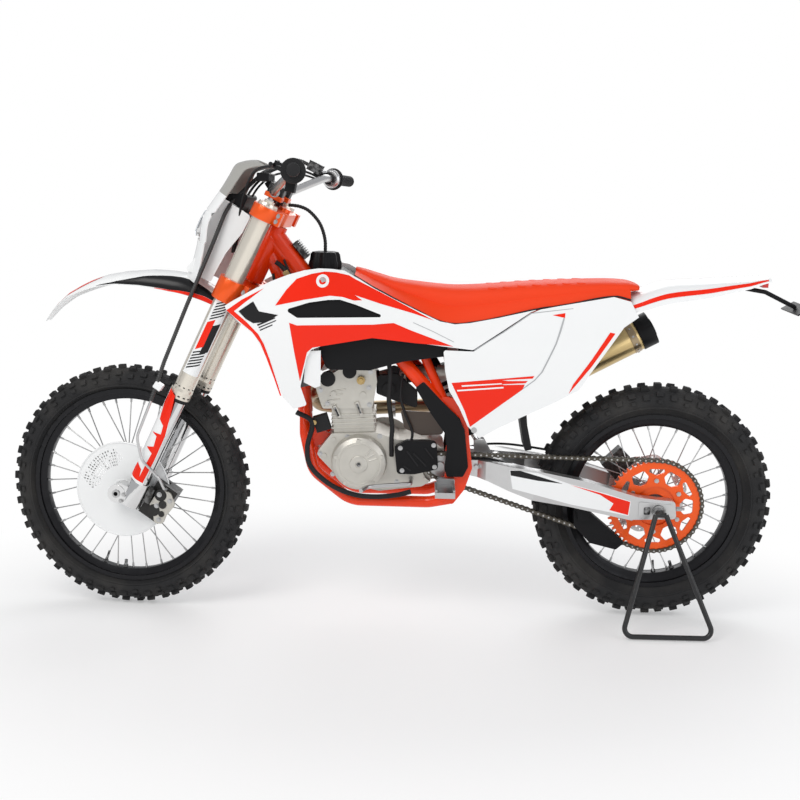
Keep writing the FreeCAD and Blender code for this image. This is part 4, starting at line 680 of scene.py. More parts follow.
def wire_hub(name, body, count, hub_radius, hub_y, bed, profile):
    """Turned hub with crossed spokes and their nipples."""
    barrel, wires, nipples = meshes(3)
    add_turned(barrel, profile, 48)
    for i, at_rim in enumerate(evenly(count, pi / count)):
        side, lead = SIDES[i % 2], SIDES[i // 2 % 2]
        foot = spoke(hub_radius, at_rim + lead * radians(62), side * hub_y)
        head = spoke(bed, at_rim, side * 5)
        ahead = (head - foot).normalized()
        across = Vector((0, side * 2.2, 0))
        add_rod(wires, foot - ahead * 2, head - ahead, 1.7, 8)
        add_rod(nipples, head - ahead * 13, head + ahead * 2, 2.9, 8, 3.4)
        add_rod(wires, foot + across, foot - across, 3.2, 8)
    piece(f"{name}_barrel", barrel, "grey_hub", body, bevel=0.6)
    piece(f"{name}_spokes", wires, "axle_steel", body, [name])
    piece(f"{name}_nipples", nipples, "axle_steel", body)


def brake_disc(name, body, outer, y, mount):
    """Wave-edged drilled disc on a spider with five arms."""
    bm = bmesh.new()
    outlines = [[around(outer - 3 + 3 * sin(10 * angle), angle) for angle in evenly(144)],
                [around(outer - 31 + 2.5 * sin(10 * angle), angle) for angle in evenly(72)]]
    for inset, radius, start in ((23, 3.6, 0.0), (15, 3.6, 0.105), (8.5, 2.6, 0.21)):
        outlines += [circle(*around(outer - inset, angle), radius, 10) for angle in evenly(20, start)]
    add_plate(bm, outlines, y - 2, y + 2)
    for angle in evenly(5):
        foot = spoke(mount, angle, y)
        for lean in (-0.22, 0.22):
            head = spoke(outer - 29, angle + lean, y)
            arm = head - foot
            add_box(bm, (foot + head) / 2, (arm.length + 8, 3.6, 8), -degrees(atan2(arm.z, arm.x)))
        add_pins(bm, [around(mount, angle)], y - 4, y + 4, 7, 6)
    add_turned(bm, [(mount - 9, y - 2), (mount + 6, y - 2), (mount + 6, y + 2), (mount - 9, y + 2)], 48)
    piece(f"{name}_drilled", bm, "disc_steel", body, [name])


def sprocket():
    """Toothed orange sprocket with cut windows, its steel bolts and its carrier."""
    plate, bolts, carrier = meshes(3)
    root, tip = SPROCKET_RADIUS - 5, SPROCKET_RADIUS + 4
    tooth = ((-0.30, root + 0.6), (-0.22, root + 1.6), (-0.09, tip - 0.6), (0, tip), (0.09, tip - 0.6),
             (0.22, root + 1.6), (0.30, root + 0.6), (0.5, root))
    edge = [around(radius, 2 * pi * (i + 0.5 + share) / SPROCKET_TEETH)
            for i in range(SPROCKET_TEETH) for share, radius in tooth]
    triangle = ((89, 0, 3), (100, -13, 4), (109, -11, 3), (109, 11, 3), (100, 13, 4))
    trapezoid = ((70, -7, 5), (70, 7, 5), (87, 16, 7), (108, 10, 7), (108, -10, 7), (87, -16, 7))
    windows = [circle(0, 0, 57, 48)]
    for k in range(12):
        shape = trapezoid if k % 2 else triangle
        windows.append(rounded([(*around(r, radians(30 * k + 30 + a)), corner) for r, a, corner in shape]))
    add_plate(plate, [edge] + windows, CHAIN_Y - 3, CHAIN_Y + 3)
    spots = [around(74, angle) for angle in evenly(6, radians(30))]
    add_pins(bolts, spots, CHAIN_Y - 6.5, CHAIN_Y - 3, 7, 6)
    add_pins(bolts, spots, CHAIN_Y - 8.5, CHAIN_Y - 3, 4, 10)
    add_turned(carrier, [(34, -63.1), (61, -63.1), (61, -63.9), (40, -63.9), (36, -66), (34, -66)], 60)
    piece("rear_sprocket_cut", plate, "orange_anodised", "rear_wheel", ["rear_sprocket"])
    piece("sprocket_bolts", bolts, "axle_steel", "rear_wheel")
    piece("sprocket_carrier", carrier, "orange_anodised", "rear_wheel")


def wheels():
    knobbly_tyre("front_tyre", "front_wheel", 38, 306, 31, 280, 21.5, 56)
    knobbly_tyre("rear_tyre", "rear_wheel", 48, 292, 37, 254, 27.5, 50)
    wire_hub("front_hub", "front_wheel", 36, 28, 30.5, 250, [
        (11.1, -60), (40, -60), (40, -54), (27, -46), (23, -37), (31, -34.5), (34, -33), (34, -28), (22, -21),
        (20, 0), (22, 21), (34, 28), (34, 33), (31, 34.5), (24, 37), (22, 58), (11.1, 58)])
    wire_hub("rear_hub", "rear_wheel", 32, 39, 31.5, 218, [
        (12.6, -63), (62, -63), (62, -57), (42, -51), (36, -40), (45, -35), (45, -29), (33, -23), (32, 0),
        (33, 23), (45, 29), (45, 35), (31, 39), (36, 56), (36, 60), (12.6, 60)])
    brake_disc("front_disc", "front_wheel", 130, -62, 34)
    brake_disc("rear_disc", "rear_wheel", 118, 62, 30)
    sprocket()


def chain():
    """Roller chain: plates, pins and rollers at every pitch of the loop."""
    big, small = Vector((REAR_AXLE[0], REAR_AXLE[2])), Vector(PINION_SPOT)
    gap = big - small
    tilt = atan2(gap.y, gap.x)
    wrap = acos((SPROCKET_RADIUS - PINION_RADIUS) / gap.length)
    path = [Vector(around(SPROCKET_RADIUS, a, *big)) for a in spread(tilt + wrap - pi, tilt + pi - wrap, 96)]
    path += [Vector(around(PINION_RADIUS, a, *small)) for a in spread(tilt + pi - wrap, tilt + pi + wrap, 96)]
    path.append(path[0])
    lengths = [(b - a).length for a, b in zip(path, path[1:])]
    count = 2 * round(sum(lengths) / CHAIN_PITCH / 2)
    step = sum(lengths) / count
    spots, run, i = [], 0.0, 0
    for k in range(count):
        while run + lengths[i] < k * step:
            run += lengths[i]
            i += 1
        spots.append(path[i].lerp(path[i + 1], (k * step - run) / lengths[i]))
    plates, pins = meshes(2)
    for k, spot in enumerate(spots):
        following = spots[(k + 1) % count]
        ahead = (following - spot).normalized()
        across = Vector((-ahead.y, ahead.x))
        outline = []
        for centre, sign in ((following, 1), (spot, -1)):
            for lean in range(-100, 101, 40):
                angle = radians(lean)
                outline.append(centre + (ahead * cos(angle) + across * sin(angle)) * (6.4 * sign))
            outline.append((spot + following) / 2 + across * (4.2 * sign))
        inner = 3.4 if k % 2 else 5.4
        for low, high in ((-inner - 1.9, -inner), (inner, inner + 1.9)):
            add_plate(plates, [outline], CHAIN_Y + low, CHAIN_Y + high)
        add_pins(pins, [spot], CHAIN_Y - 8.4, CHAIN_Y + 8.4, 2.5, 8)
        add_pins(pins, [spot], CHAIN_Y - 3.3, CHAIN_Y + 3.3, 5, 10)
    piece("chain_links", plates, "chain_steel", stands_for=["chain"])
    piece("chain_pins", pins, "axle_steel")


# Bodywork

# Distance of the bodywork from the bike's middle, over places along the bike and heights
FLANK = table(
    (-470, -300, -150, 0, 200, 420, 560, 700), (590, 700, 790, 860, 920, 1000),
    [(156, 157, 158, 158, 156, 150), (140, 148, 155, 157, 152, 132), (128, 136, 143, 144, 134, 108),
     (126, 128, 134, 131, 119, 98), (126, 128, 130, 121, 106, 92), (122, 122, 119, 109, 97, 88),
     (119, 119, 115, 106, 96, 86), (114, 114, 108, 101, 94, 84)])
# Side views of the bodywork: a third number is the radius of a corner
SHROUD = [(-444, 890, 4), (-418, 906), (-363, 937), (-320, 957), (-279, 973), (-235, 985), (-198, 990),
          (-165, 989), (-131, 985), (-87, 962), (-53, 942), (2, 914), (74, 880), (128, 856), (168, 849),
          (209, 853), (283, 867), (394, 892, 4), (372, 884), (218, 781, 4), (133, 790), (-56, 813),
          (-184, 787, 8), (-215, 775, 8), (-226, 755), (-244, 673), (-227, 621, 6), (-262, 611, 6),
          (-291, 642), (-332, 749), (-364, 812), (-400, 841), (-439, 878)]
WINDOW = [(-285, 882, 6), (-221, 902), (-172, 909), (-140, 910), (-97, 897), (-14, 865, 4), (-252, 861, 6)]
PANEL_TOP = [(640, 916, 6), (593, 928), (448, 901), (397, 891), (374, 881), (220, 777, 6)]
LEFT_PANEL = [(139, 779, 6), (145, 721), (157, 668), (186, 622), (210, 571), (242, 537, 6), (293, 567),
              (368, 604), (442, 640), (509, 677, 10), (536, 720), (623, 847), (662, 875), *PANEL_TOP]
RIGHT_PANEL = [(139, 779, 6), (145, 721), (157, 668, 6), (200, 650, 6), (330, 700), (480, 775), (600, 850),
               (662, 885), *PANEL_TOP]
# Fields of coloured film on the flanks, as places along the bike and heights; the grey crease film is painted
# shade along the joints and creases
# Grey strip along the joint of the shrouds and the side panels: painted shade
UPPER_CREASE_SHADE = [(220, 781), (298, 831), (372, 882), (485, 896), (485, 894.4), (373, 879.6), (300, 829),
              (222, 780)]
REAR_MARK = [(429, 877), (464, 883), (463, 870)]
SHROUD_FILM = {
    "red_film": [
        [(-310, 893), (-281, 935), (-255, 963), (-216, 976), (-182, 982), (-152, 980), (-118, 973),
         (-100, 963), (-32, 930), (60, 884), (112, 858), (60, 875), (-31, 900), (-101, 922), (-81, 909),
         (-103, 908), (-133, 917), (-167, 920), (-234, 909)],
        [(-439, 878), (-398, 907), (-340, 938), (-391, 899), (-419, 876), (-388, 850), (-355, 816),
         (-340, 789), (-325, 747), (-295, 647), (-299, 648), (-315, 698), (-335, 754), (-350, 792),
         (-371, 821), (-405, 849)],
        [(-273, 848), (-253, 841), (-51, 845), (4, 850), (48, 832), (165, 790), (62, 797), (-53, 809),
         (-212, 781), (-226, 768), (-245, 688), (-260, 769)]],
    "black_film": [
        [(-407, 876), (-368, 903), (-353, 877), (-302, 868), (-334, 849), (-368, 845), (-388, 856)],
        [(-358, 842), (-310, 862), (-310, 859), (-356, 838)],
        [(-354, 835), (-307, 855), (-308, 852), (-353, 832)],
        [(-351, 828), (-317, 843), (-317, 840), (-350, 825)]],
    # Grey strip along a crease of the shroud: painted shade
    "crease_shade_film": [[(166, 803), (110, 830), (56, 853), (56, 851), (110, 828), (166, 801)]],
}
LEFT_FILM = {
    "red_film": [
        [(163, 690), (386, 713), (382, 706), (299, 700), (316, 698), (369, 699), (363, 693), (299, 689),
         (304, 687), (361, 689), (356, 676), (217, 569), (201, 613)],
        [(586, 834), (600, 831), (538, 739), (481, 666), (492, 692), (537, 757)], REAR_MARK],
    "white_film": [[(190, 684), (299, 692), (299, 689), (192, 680)],
                   [(178, 671), (304, 682), (304, 678), (180, 667)]],
    # Grey strips along the joint and a crease of the left panel: painted shade
    "crease_shade_film": [UPPER_CREASE_SHADE, [(463, 869), (455, 837), (443, 800), (421, 751), (408, 723), (388, 700),
                               (318, 646), (317, 648), (386, 702), (404, 724), (417, 752), (439, 801),
                               (450, 838), (459, 870)]],
}
RIGHT_FILM = {
    "red_film": [REAR_MARK, [(170, 690), (330, 722), (306, 704), (230, 673), (200, 662), (172, 668)]],
    # Grey strip along the joint of the right panel: painted shade
    "crease_shade_film": [UPPER_CREASE_SHADE],
}
# How far each film lies above the shell
FILM_LIFT = {"red_film": 0.5, "black_film": 0.7, "white_film": 0.9, "crease_shade_film": 0.4}


def films(name, fields, sides=SIDES):
    """Coloured films that lie on the flank."""
    for colour, outlines in fields.items():
        bm = bmesh.new()
        for outline in outlines:
            for side in sides:
                add_skin(bm, [outline], FLANK, side, 12, FILM_LIFT[colour])
        piece(f"{name}_{colour}", bm, colour)


def flank_shell(name, left, right, material, wall, lift=0.0, stands_for=()):
    """Shell on each flank, from its edge and its holes."""
    bm = bmesh.new()
    add_skin(bm, left, FLANK, -1, 16, lift)
    add_skin(bm, right, FLANK, 1, 16, lift)
    piece(name, bm, material, stands_for=stands_for, wall=wall, angle=48)


def shrouds():
    """Tank shrouds with their films, the dark backing of their windows and their screws."""
    shell = [rounded(SHROUD), rounded(WINDOW)]
    flank_shell("shroud_shells", shell, shell, "white_plastic", 3.2, 0, ["shrouds"])
    films("shroud", SHROUD_FILM)
    backing = [[(-300, 892), (-221, 914), (-140, 922), (-90, 908), (6, 862), (-40, 850), (-256, 850)]]
    flank_shell("window_backing", backing, backing, "black_plastic", 1.5, -7.5)
    returns = [[(-229, 770), (-190, 772), (-191, 674), (-206, 668), (-236, 684)]]
    flank_shell("shroud_returns", returns, returns, "white_plastic", 2.4, -8)
    washers, screws = meshes(2)
    x, z = -187, 958
    for side in SIDES:
        add_skin(washers, [circle(x, z, 17, 40), circle(x, z, 9.4, 30)], FLANK, side, 40, 1.4)
        y = FLANK(x, z)
        add_pins(screws, [(x, z)], side * (y - 4), side * (y + 0.6), 8.5, 24)
        add_pins(screws, [(x, z)], side * (y - 4), side * (y + 2.2), 4.6, 6)
    piece("shroud_washers", washers, "white_film", wall=1.2)
    piece("shroud_screws", screws, "axle_steel", bevel=0.4)


def side_panels():
    """Panels under the seat, with their films and screws."""
    left, right = [rounded(LEFT_PANEL)], [rounded(RIGHT_PANEL)]
    flank_shell("side_panel_shells", left, right, "white_plastic", 3.2, 0, ["side_panels"])
    films("panel", LEFT_FILM, (-1,))
    films("panel_right", RIGHT_FILM, (1,))
    screws = bmesh.new()
    for x, z, side in ((228, 560, -1), (300, 720, 1)):
        y = FLANK(x, z)
        add_pins(screws, [(x, z)], side * (y - 2), side * (y + 1.4), 8, 20)
        add_pins(screws, [(x, z)], side * (y - 2), side * (y + 2.6), 4.5, 6)
    piece("panel_screws", screws, "axle_steel")


# Stations of the mudguards: place, height, half breadth, rise of the crown and drop of the edges
FRONT_GUARD = [(-415, 323, 14, 0, 6), (-404, 371, 27, 1, 10), (-378, 427, 41, 2, 16), (-338, 479, 58, 4, 24),
               (-300, 517, 70, 5, 29), (-258, 548, 78, 5, 33), (-193, 585, 84, 5, 42), (-110, 618, 82, 3, 50),
               (-55, 625, 76, 0, 44), (10, 615, 70, 0, 28), (60, 603, 66, 0, 20), (98, 590, 58, 0, 16)]
REAR_GUARD = [(582, 910, 86, 0, 40), (640, 926, 90, 2, 44), (740, 956, 92, 6, 44), (860, 966, 86, 6, 34),
              (960, 974, 76, 5, 20), (1022, 982, 60, 2, 10)]


def mudguard(name, stations, body, node, steps):
    """Curved shell; gives its surface, on which u runs from -1 at the left edge to 1 at the right."""
    def point(s, u, lift=0.0):
        z, half, rise, drop = between(stations, s)
        turn = pi * (u + 1) / 2
        across = -copysign(abs(cos(turn)) ** 0.7, cos(turn))
        return Vector((s, (half + lift) * across, z - drop + (rise + drop + lift) * max(sin(turn), 0) ** 0.8))
    bm = bmesh.new()
    add_patch(bm, point, (stations[0][0], stations[-1][0]), (-1, 1), steps)
    bm.normal_update()
    if sum(f.normal.z for f in bm.faces) < 0:
        bmesh.ops.reverse_faces(bm, faces=bm.faces)
    piece(name, bm, "white_plastic", body, [node], wall=3.2, angle=48)
    return point


def guard_film(name, point, body, colour, lift, rows):
    """Film on both sides of a mudguard, between shares (place, low, high) of its half breadth."""
    bm = bmesh.new()
    for side in SIDES:
        lines = []
        for s in spread(rows[0][0], rows[-1][0], 48):
            k, share = knot_at([row[0] for row in rows], s)
            low, high = (a + (b - a) * share for a, b in zip(rows[k][1:], rows[k + 1][1:]))
            lines.append([point(s, side * u, lift) for u in spread(low, high, 10)])
        add_quads(bm, lines, side < 0)
    piece(name, bm, colour, body, angle=70)


def mudguards():
    point = mudguard("front_guard_shell", FRONT_GUARD, "steering", "front_fender", (72, 32))
    guard_film("front_guard_black", point, "steering", "black_film", 0.7, [
        (-305, 0.965, 0.975), (-264, 0.90, 0.975), (-223, 0.74, 0.975), (-178, 0.56, 0.975),
        (-107, 0.42, 0.965), (-62, 0.36, 0.90), (-20, 0.38, 0.80), (30, 0.55, 0.78)])
    guard_film("front_guard_red", point, "steering", "red_film", 0.8, [
        (-150, 0.982, 0.992), (-107, 0.968, 0.995), (-62, 0.905, 0.995), (-20, 0.81, 0.995),
        (40, 0.80, 0.995), (60, 0.86, 0.90)])
    guard_film("front_guard_nose", point, "steering", "red_film", 1.0, [
        (-400, 0.50, 0.66), (-376, 0.46, 0.74), (-345, 0.42, 0.68), (-318, 0.40, 0.54), (-302, 0.38, 0.40)])
    point = mudguard("rear_guard_shell", REAR_GUARD, "chassis", "rear_fender", (60, 30))
    guard_film("rear_guard_red", point, "chassis", "red_film", 0.8, [
        (590, 0.80, 0.90), (692, 0.70, 0.86), (824, 0.69, 0.87), (986, 0.62, 0.84), (1014, 0.62, 0.80)])


# Heights of the line along which the seat meets the bodywork
SEAT_LINE = [(-131, 985), (-87, 962), (-53, 942), (2, 914), (74, 880), (128, 856), (168, 849), (209, 853),
             (283, 867), (394, 892), (448, 901), (593, 928), (650, 918)]
# Stations of the seat: place, height of its crown, height of its foot and half breadth
SEAT = [(-107, 987, 971, 26), (-96, 984, 966, 33), (-60, 974, 947, 44), (0, 957, 919, 57), (74, 948, 885, 69),
        (128, 943, 861, 75), (172, 941, 853, 79), (249, 945, 864, 83), (365, 955, 887, 83),
        (481, 962, 909, 82), (593, 966, 931, 77), (650, 963, 938, 70), (672, 955, 941, 62)]


def seat():
    """Long saddle: crowned rings, pinched above its foot, with a skirt, piping and a row of pressed ovals."""
    shape = [(0.93, 0), (1.0, 0.3), (0.985, 0.55), (0.93, 0.76), (0.80, 0.91), (0.60, 0.975), (0.32, 1.0),
             (0, 1.01)]
    shape += [(-a, b) for a, b in shape[-2::-1]]
    pad, skirt, piping, marks = meshes(4)
    rings = []
    for x in spread(SEAT[0][0], SEAT[-1][0], 60):
        top, foot, half = between(SEAT, x)
        rings.append([Vector((x, half * a, foot + (top - foot) * b)) for a, b in shape])
    add_rings(pad, rings)
    for side in SIDES:
        rows, line = [], []
        for x in spread(-104, 640, 60):
            top, foot, half = between(SEAT, x)
            edge = between(SEAT_LINE, x)[0]
            flank = FLANK(x, edge)
            out, high = flank - 8 - half, foot + 0.42 * (top - foot) - edge
            line.append(Vector((x, side * (flank - 3.5), edge + 0.6)))
            rows.append([(x, side * y, edge + rise) for y, rise in (
                (half - 2.5, high), (half + 0.18 * out, 0.80 * high), (half + 0.5 * out, 0.5 * high),
                (half + 0.85 * out, 0.16 * high), (flank - 8, 0), (flank - 8, -10))])
        add_quads(skirt, rows, side < 0)
        add_tube(piping, line, 2.3, 10)
    for x in range(270, 511, 40):
        top, foot, half = between(SEAT, x)
        for side in SIDES:
            rings = []
            for lift, share in ((-1.5, 1.0), (0.5, 0.92), (0.9, 0.6)):
                rings.append([])
                for angle in evenly(20):
                    a = side * 0.70 + 0.10 * share * sin(angle)
                    z = foot + (top - foot) * (0.945 - 0.3 * (abs(a) - 0.70)) + lift
                    rings[-1].append(Vector((x + 14 * share * cos(angle), half * a, z)))
            add_rings(marks, rings)
    cover = piece("seat_cover", pad, "seat_vinyl", stands_for=["seat"], subdivide=1, angle=70)
    edge_roll = piece("seat_skirt", skirt, "seat_vinyl", wall=1.6, angle=75)
    piece("seat_piping", piping, "black_rubber")
    ovals = piece("seat_ovals", marks, "seat_vinyl", angle=60)


# Fork and controls

# Stations of the headlight mask: height, place of its middle and half breadth
MASK = [(620, -98, 70), (655, -98, 82), (690, -102, 92), (730, -110, 100), (790, -126, 104), (835, -120, 99),
        (880, -112, 92), (920, -108, 78), (956, -104, 62), (980, -78, 61), (990, -57, 60)]


def headlight_mask():
    """Cowl in front of the fork: white below, a smoked screen on top, with the lamp in its opening."""
    def point(s, u):
        x, half = between(MASK, s)
        return Vector((x + 42 * abs(u) ** 2.4, half * u, s))

    white, screen, bowl, lens = meshes(4)
    add_patch(white, point, (620, 730), (-1, 1), (14, 24))
    add_patch(white, point, (730, 814), (-0.60, -1), (12, 8))
    add_patch(white, point, (730, 814), (0.60, 1), (12, 8))
    add_patch(white, point, (814, 872), (-1, 1), (8, 24))
    bmesh.ops.remove_doubles(white, verts=white.verts, dist=0.3)
    add_patch(screen, point, (872, 990), (-1, 1), (16, 24))
    for bm in (white, screen):
        bmesh.ops.recalc_face_normals(bm, faces=bm.faces)
        if sum(f.normal.x for f in bm.faces) > 0:
            bmesh.ops.reverse_faces(bm, faces=bm.faces)
    piece("mask_cowl", white, "white_plastic", "steering", ["headlight_mask"], wall=3, angle=48)
    piece("mask_screen", screen, "smoked_screen", "steering", wall=3, angle=48)
    edge = [(copysign(abs(cos(a)) ** 0.6, cos(a)), copysign(abs(sin(a)) ** 0.6, sin(a))) for a in evenly(40)]
    for bm, sizes in (
            (bowl, ((-116, 58, 40), (-112, 59, 41), (-90, 50, 36), (-62, 34, 26))),
            (lens, ((-117, 59, 41), (-120.06, 58.41, 40.59), (-122.2, 47.2, 32.8), (-124.3, 26.55, 18.45),
                    (-126.4, 5.9, 4.1)))):
        add_rings(bm, [[Vector((x, half * y, 772 + tall * z)) for y, z in edge] for x, half, tall in sizes])
    piece("lamp_bowl", bowl, "fork_chrome", "steering", ["headlight"], angle=30)
    piece("lamp_lens", lens, "lamp_lens", "steering", angle=30)


def cowl_inside():
    """Side walls inside the cowl and the ribbed lamp housing above the bowl."""
    walls, housing = meshes(2)
    outline = [(-99, 640, 6), (-22, 640, 6), (-16, 730), (2, 800), (4, 850, 8), (-40, 858, 8), (-96, 862, 4),
               (-104, 800), (-90, 730), (-86, 690)]
    add_plates(walls, [rounded(outline)], 58, 60.5)
    outline = [(-90, 868, 8), (-70, 882, 6), (-26, 900, 8), (-27, 852, 6), (-44, 806, 4), (-94, 812, 8)]
    add_plate(housing, [rounded(outline)], -52, 52)
    for k in range(5):
        add_box(housing, (-30 - 4 * k, 0, 838 - 10 * k), (10, 108, 3), 24)
    piece("cowl_walls", walls, "white_plastic", "steering", bevel=0.6)
    piece("lamp_housing", housing, "black_plastic", "steering", bevel=1.2)


def add_wrap(bm, side, turn, low, high, slope, lift):
    """Film round a fork tube, between angles from the front round the outer side; its heights rise."""
    lines = []
    for lean, rise in zip(spread(*turn, 8), spread(0, slope, 8)):
        x, y = around(FORK_RADIUS + lift, radians(lean))
        lines.append([(CLAMP_LEAD - x, side * (FORK_SPREAD + y), z + rise) for z in (low, high)])
    add_quads(bm, lines)


def fork():
    """Films round the fork tubes, seals and clamp bolts."""
    white, black, red, seals, bolts = meshes(5)
    for side in SIDES:
        add_wrap(white, side, (52, 150), 400, 640, 0, 0.25)
        for k in range(6):
            add_wrap(black, side, (70, 138), 560 + 9 * k, 564.5 + 9 * k, 26, 0.5)
            add_wrap(black, side, (62, 130), 412 + 9 * k, 416.5 + 9 * k, 22, 0.5)
        add_wrap(black, side, (100, 142), 462, 548, 14, 0.5)
        add_wrap(red, side, (66, 104), 470, 552, 16, 0.6)
        for lean in range(0, 360, 30):
            add_wrap(black, side, (lean, lean + 13), 330, 334, 0, 1.9)
            add_wrap(black, side, (lean + 8, lean + 19), 358, 361, 0, 0.4)
        y = side * FORK_SPREAD
        tube = Matrix.Translation((CLAMP_LEAD, y, 0)) @ Matrix.Rotation(pi / 2, 4, "X")
        add_turned(seals, [(24.4, 314), (27.6, 314), (28.6, 323.6), (24.4, 323.6)], 40, tube)
        add_bolts(bolts, [(CLAMP_LEAD + 37, z) for z in (640, 664)], y + side * 6, side, 5)
        add_bolts(bolts, [(CLAMP_LEAD + 36, z) for z in (873, 889)], y + side * 6, side, 5)
        add_rod(bolts, (CLAMP_LEAD, y, 914), (CLAMP_LEAD, y, 919), 11, 6)
        add_rod(bolts, (CLAMP_LEAD, y, 914), (CLAMP_LEAD, y, 923), 5, 16)
    piece("fork_film_white", white, "white_film", "steering")
    piece("fork_film_black", black, "black_film", "steering")
    piece("fork_film_red", red, "red_film", "steering")
    piece("fork_seals", seals, "black_rubber", "steering")
    piece("fork_bolts", bolts, "axle_steel", "steering")


# Side view of the red flash on the fork's shields
GUARD_FLASH = [(16, 342), (38, 330), (50, 272), (59, 215), (60, 139), (57, 66), (30, 68), (16, 72), (15, 95),
               (18, 112), (38, 100), (42, 78), (44, 126), (46, 155), (24, 165), (43, 175), (38, 205),
               (20, 210), (47, 215), (43, 240), (25, 252), (15, 299)]


def fork_feet():
    """Film on the shields, the holed disc cover, the caliper's face and the bolts at the fork's feet."""
    flash, cover, face, bolts, plugs = meshes(5)
    reach = FORK_RADIUS + 5.35

    def shield(x, z):
        return FORK_SPREAD + sqrt(max(reach ** 2 - (x - CLAMP_LEAD) ** 2, 4))
    for side in SIDES:
        add_skin(flash, [GUARD_FLASH], shield, side, 3)
    outlines = [circle(0, 0, 133, 120), circle(0, 0, 20, 40)]
    for row in range(6):
        count = 22 - 2 * abs(row - 2)
        for k in range(count):
            if (k * 7 + row * 3) % 11:
                turn = Matrix.Rotation(radians(160 - (count - 1) * 2.1 + 4.2 * k), 2)
                slot = ((-2.6, -1.7), (2.6, -1.7), (2.6, 1.7), (-2.6, 1.7))
                outlines.append([turn @ Vector((72 + 8.6 * row + a, b)) for a, b in slot])
    add_plate(cover, outlines, -72, -69)
    add_turned(cover, [(132, -69), (136, -69), (136, -72.5), (134, -74), (131, -72.6)], 120)
    add_turned(cover, [(20, -72), (30, -72), (28, -74.5), (22, -75.5), (20, -75)], 60)
    outline = [(98, 58, 10), (132, 66, 14), (158, 40, 14), (148, -2, 10), (150, -26, 12), (126, -36, 10),
               (112, -10, 10), (92, 6, 10)]
    add_plate(face, [rounded(outline)], -101, -94)
    add_bolts(bolts, ((106, 46), (140, 44), (134, -20), (112, 14)), -101, -1, 5, 4)
    for side in SIDES:
        add_bolts(bolts, ((20, 8), (20, -12)), side * 127.5, side, 4, 4)
    for x, z, radius in ((126, 24, 12), (134, -2, 9)):
        plug = [(0.5, -101), (radius, -101), (radius - 1, -104), (0.5, -104)]
        add_turned(plugs, plug, 28, Matrix.Translation((x, 0, z)))
    piece("shield_film", flash, "red_film", "steering", angle=60)
    piece("cover_holed", cover, "white_plastic", "steering", ["disc_cover"], angle=30)
    piece("caliper_face", face, "engine_alloy", "steering", bevel=1.6)
    piece("caliper_plugs", plugs, "caliper_dark", "steering", bevel=0.5)
    piece("foot_bolts", bolts, "axle_steel", "steering")


def add_conduit(bm, path, radius, pitch, rib):
    """Ribbed hose: the radius swells at every rib."""
    lengths = [(b - a).length for a, b in zip(path, path[1:])]
    count = int(sum(lengths) / pitch) * 3
    points, run, i = [], 0.0, 0
    for goal in spread(0, sum(lengths), count):
        while i < len(path) - 2 and run + lengths[i] < goal:
            run += lengths[i]
            i += 1
        points.append(path[i].lerp(path[i + 1], min((goal - run) / lengths[i], 1)))
    add_tube(bm, points, [radius + (rib if k % 3 == 1 else 0) for k in range(count + 1)], 10)


def hoses():
    """Front brake line, as a ribbed sleeve and a bare line with a clip between them, and the bar's cables."""
    sleeve, line, clip, cables = meshes(4)
    add_conduit(sleeve, bent([(29.6, 232, 1030), (-10, 232, 1030, 30), (-44, 60, 960, 60),
                              (-62, -70, 850, 90), (-54, -80, 730, 90), (-46, -94, 560, 120),
                              (-30, -128, 400, 80), (-14, -147, 290)]), 5.2, 6.0, 0.9)
    add_tube(line, bent([(-14, -147, 290), (-8, -147, 180, 40), (30, -147, 128, 40), (94, -144, 104, 24),
                         (118, -126, 74, 16), (118, -95.1, 68)]), 3.8, 12)
    add_box(clip, (-14, -137, 334), (24, 22, 20), 8)
    for radius, route in (
            (3.4, [(72, -246, 1012), (30, -190, 1004), (-22, -120, 968), (-34, -76, 900), (-22, -54, 820),
                   (-4, -46, 740)]),
            (3.4, [(80, 246, 1010), (36, 170, 1010), (-14, 90, 990), (-34, 20, 940), (-36, -24, 880),
                   (-22, -38, 800), (-6, -36, 736)]),
            (3.0, [(84, 246, 1004), (40, 160, 1000), (-8, 80, 976), (-28, 26, 930), (-30, 4, 870),
                   (-20, 0, 800), (-8, -12, 736)])):
        add_tube(cables, flowing(route), radius, 10)
    piece("brake_sleeve", sleeve, "hose_grey", "steering", ["front_brake_hose"])
    piece("brake_line", line, "bar_alloy", "steering")
    piece("line_clip", clip, "white_plastic", "steering", bevel=3)
    piece("bar_cables", cables, "black_rubber", "steering")


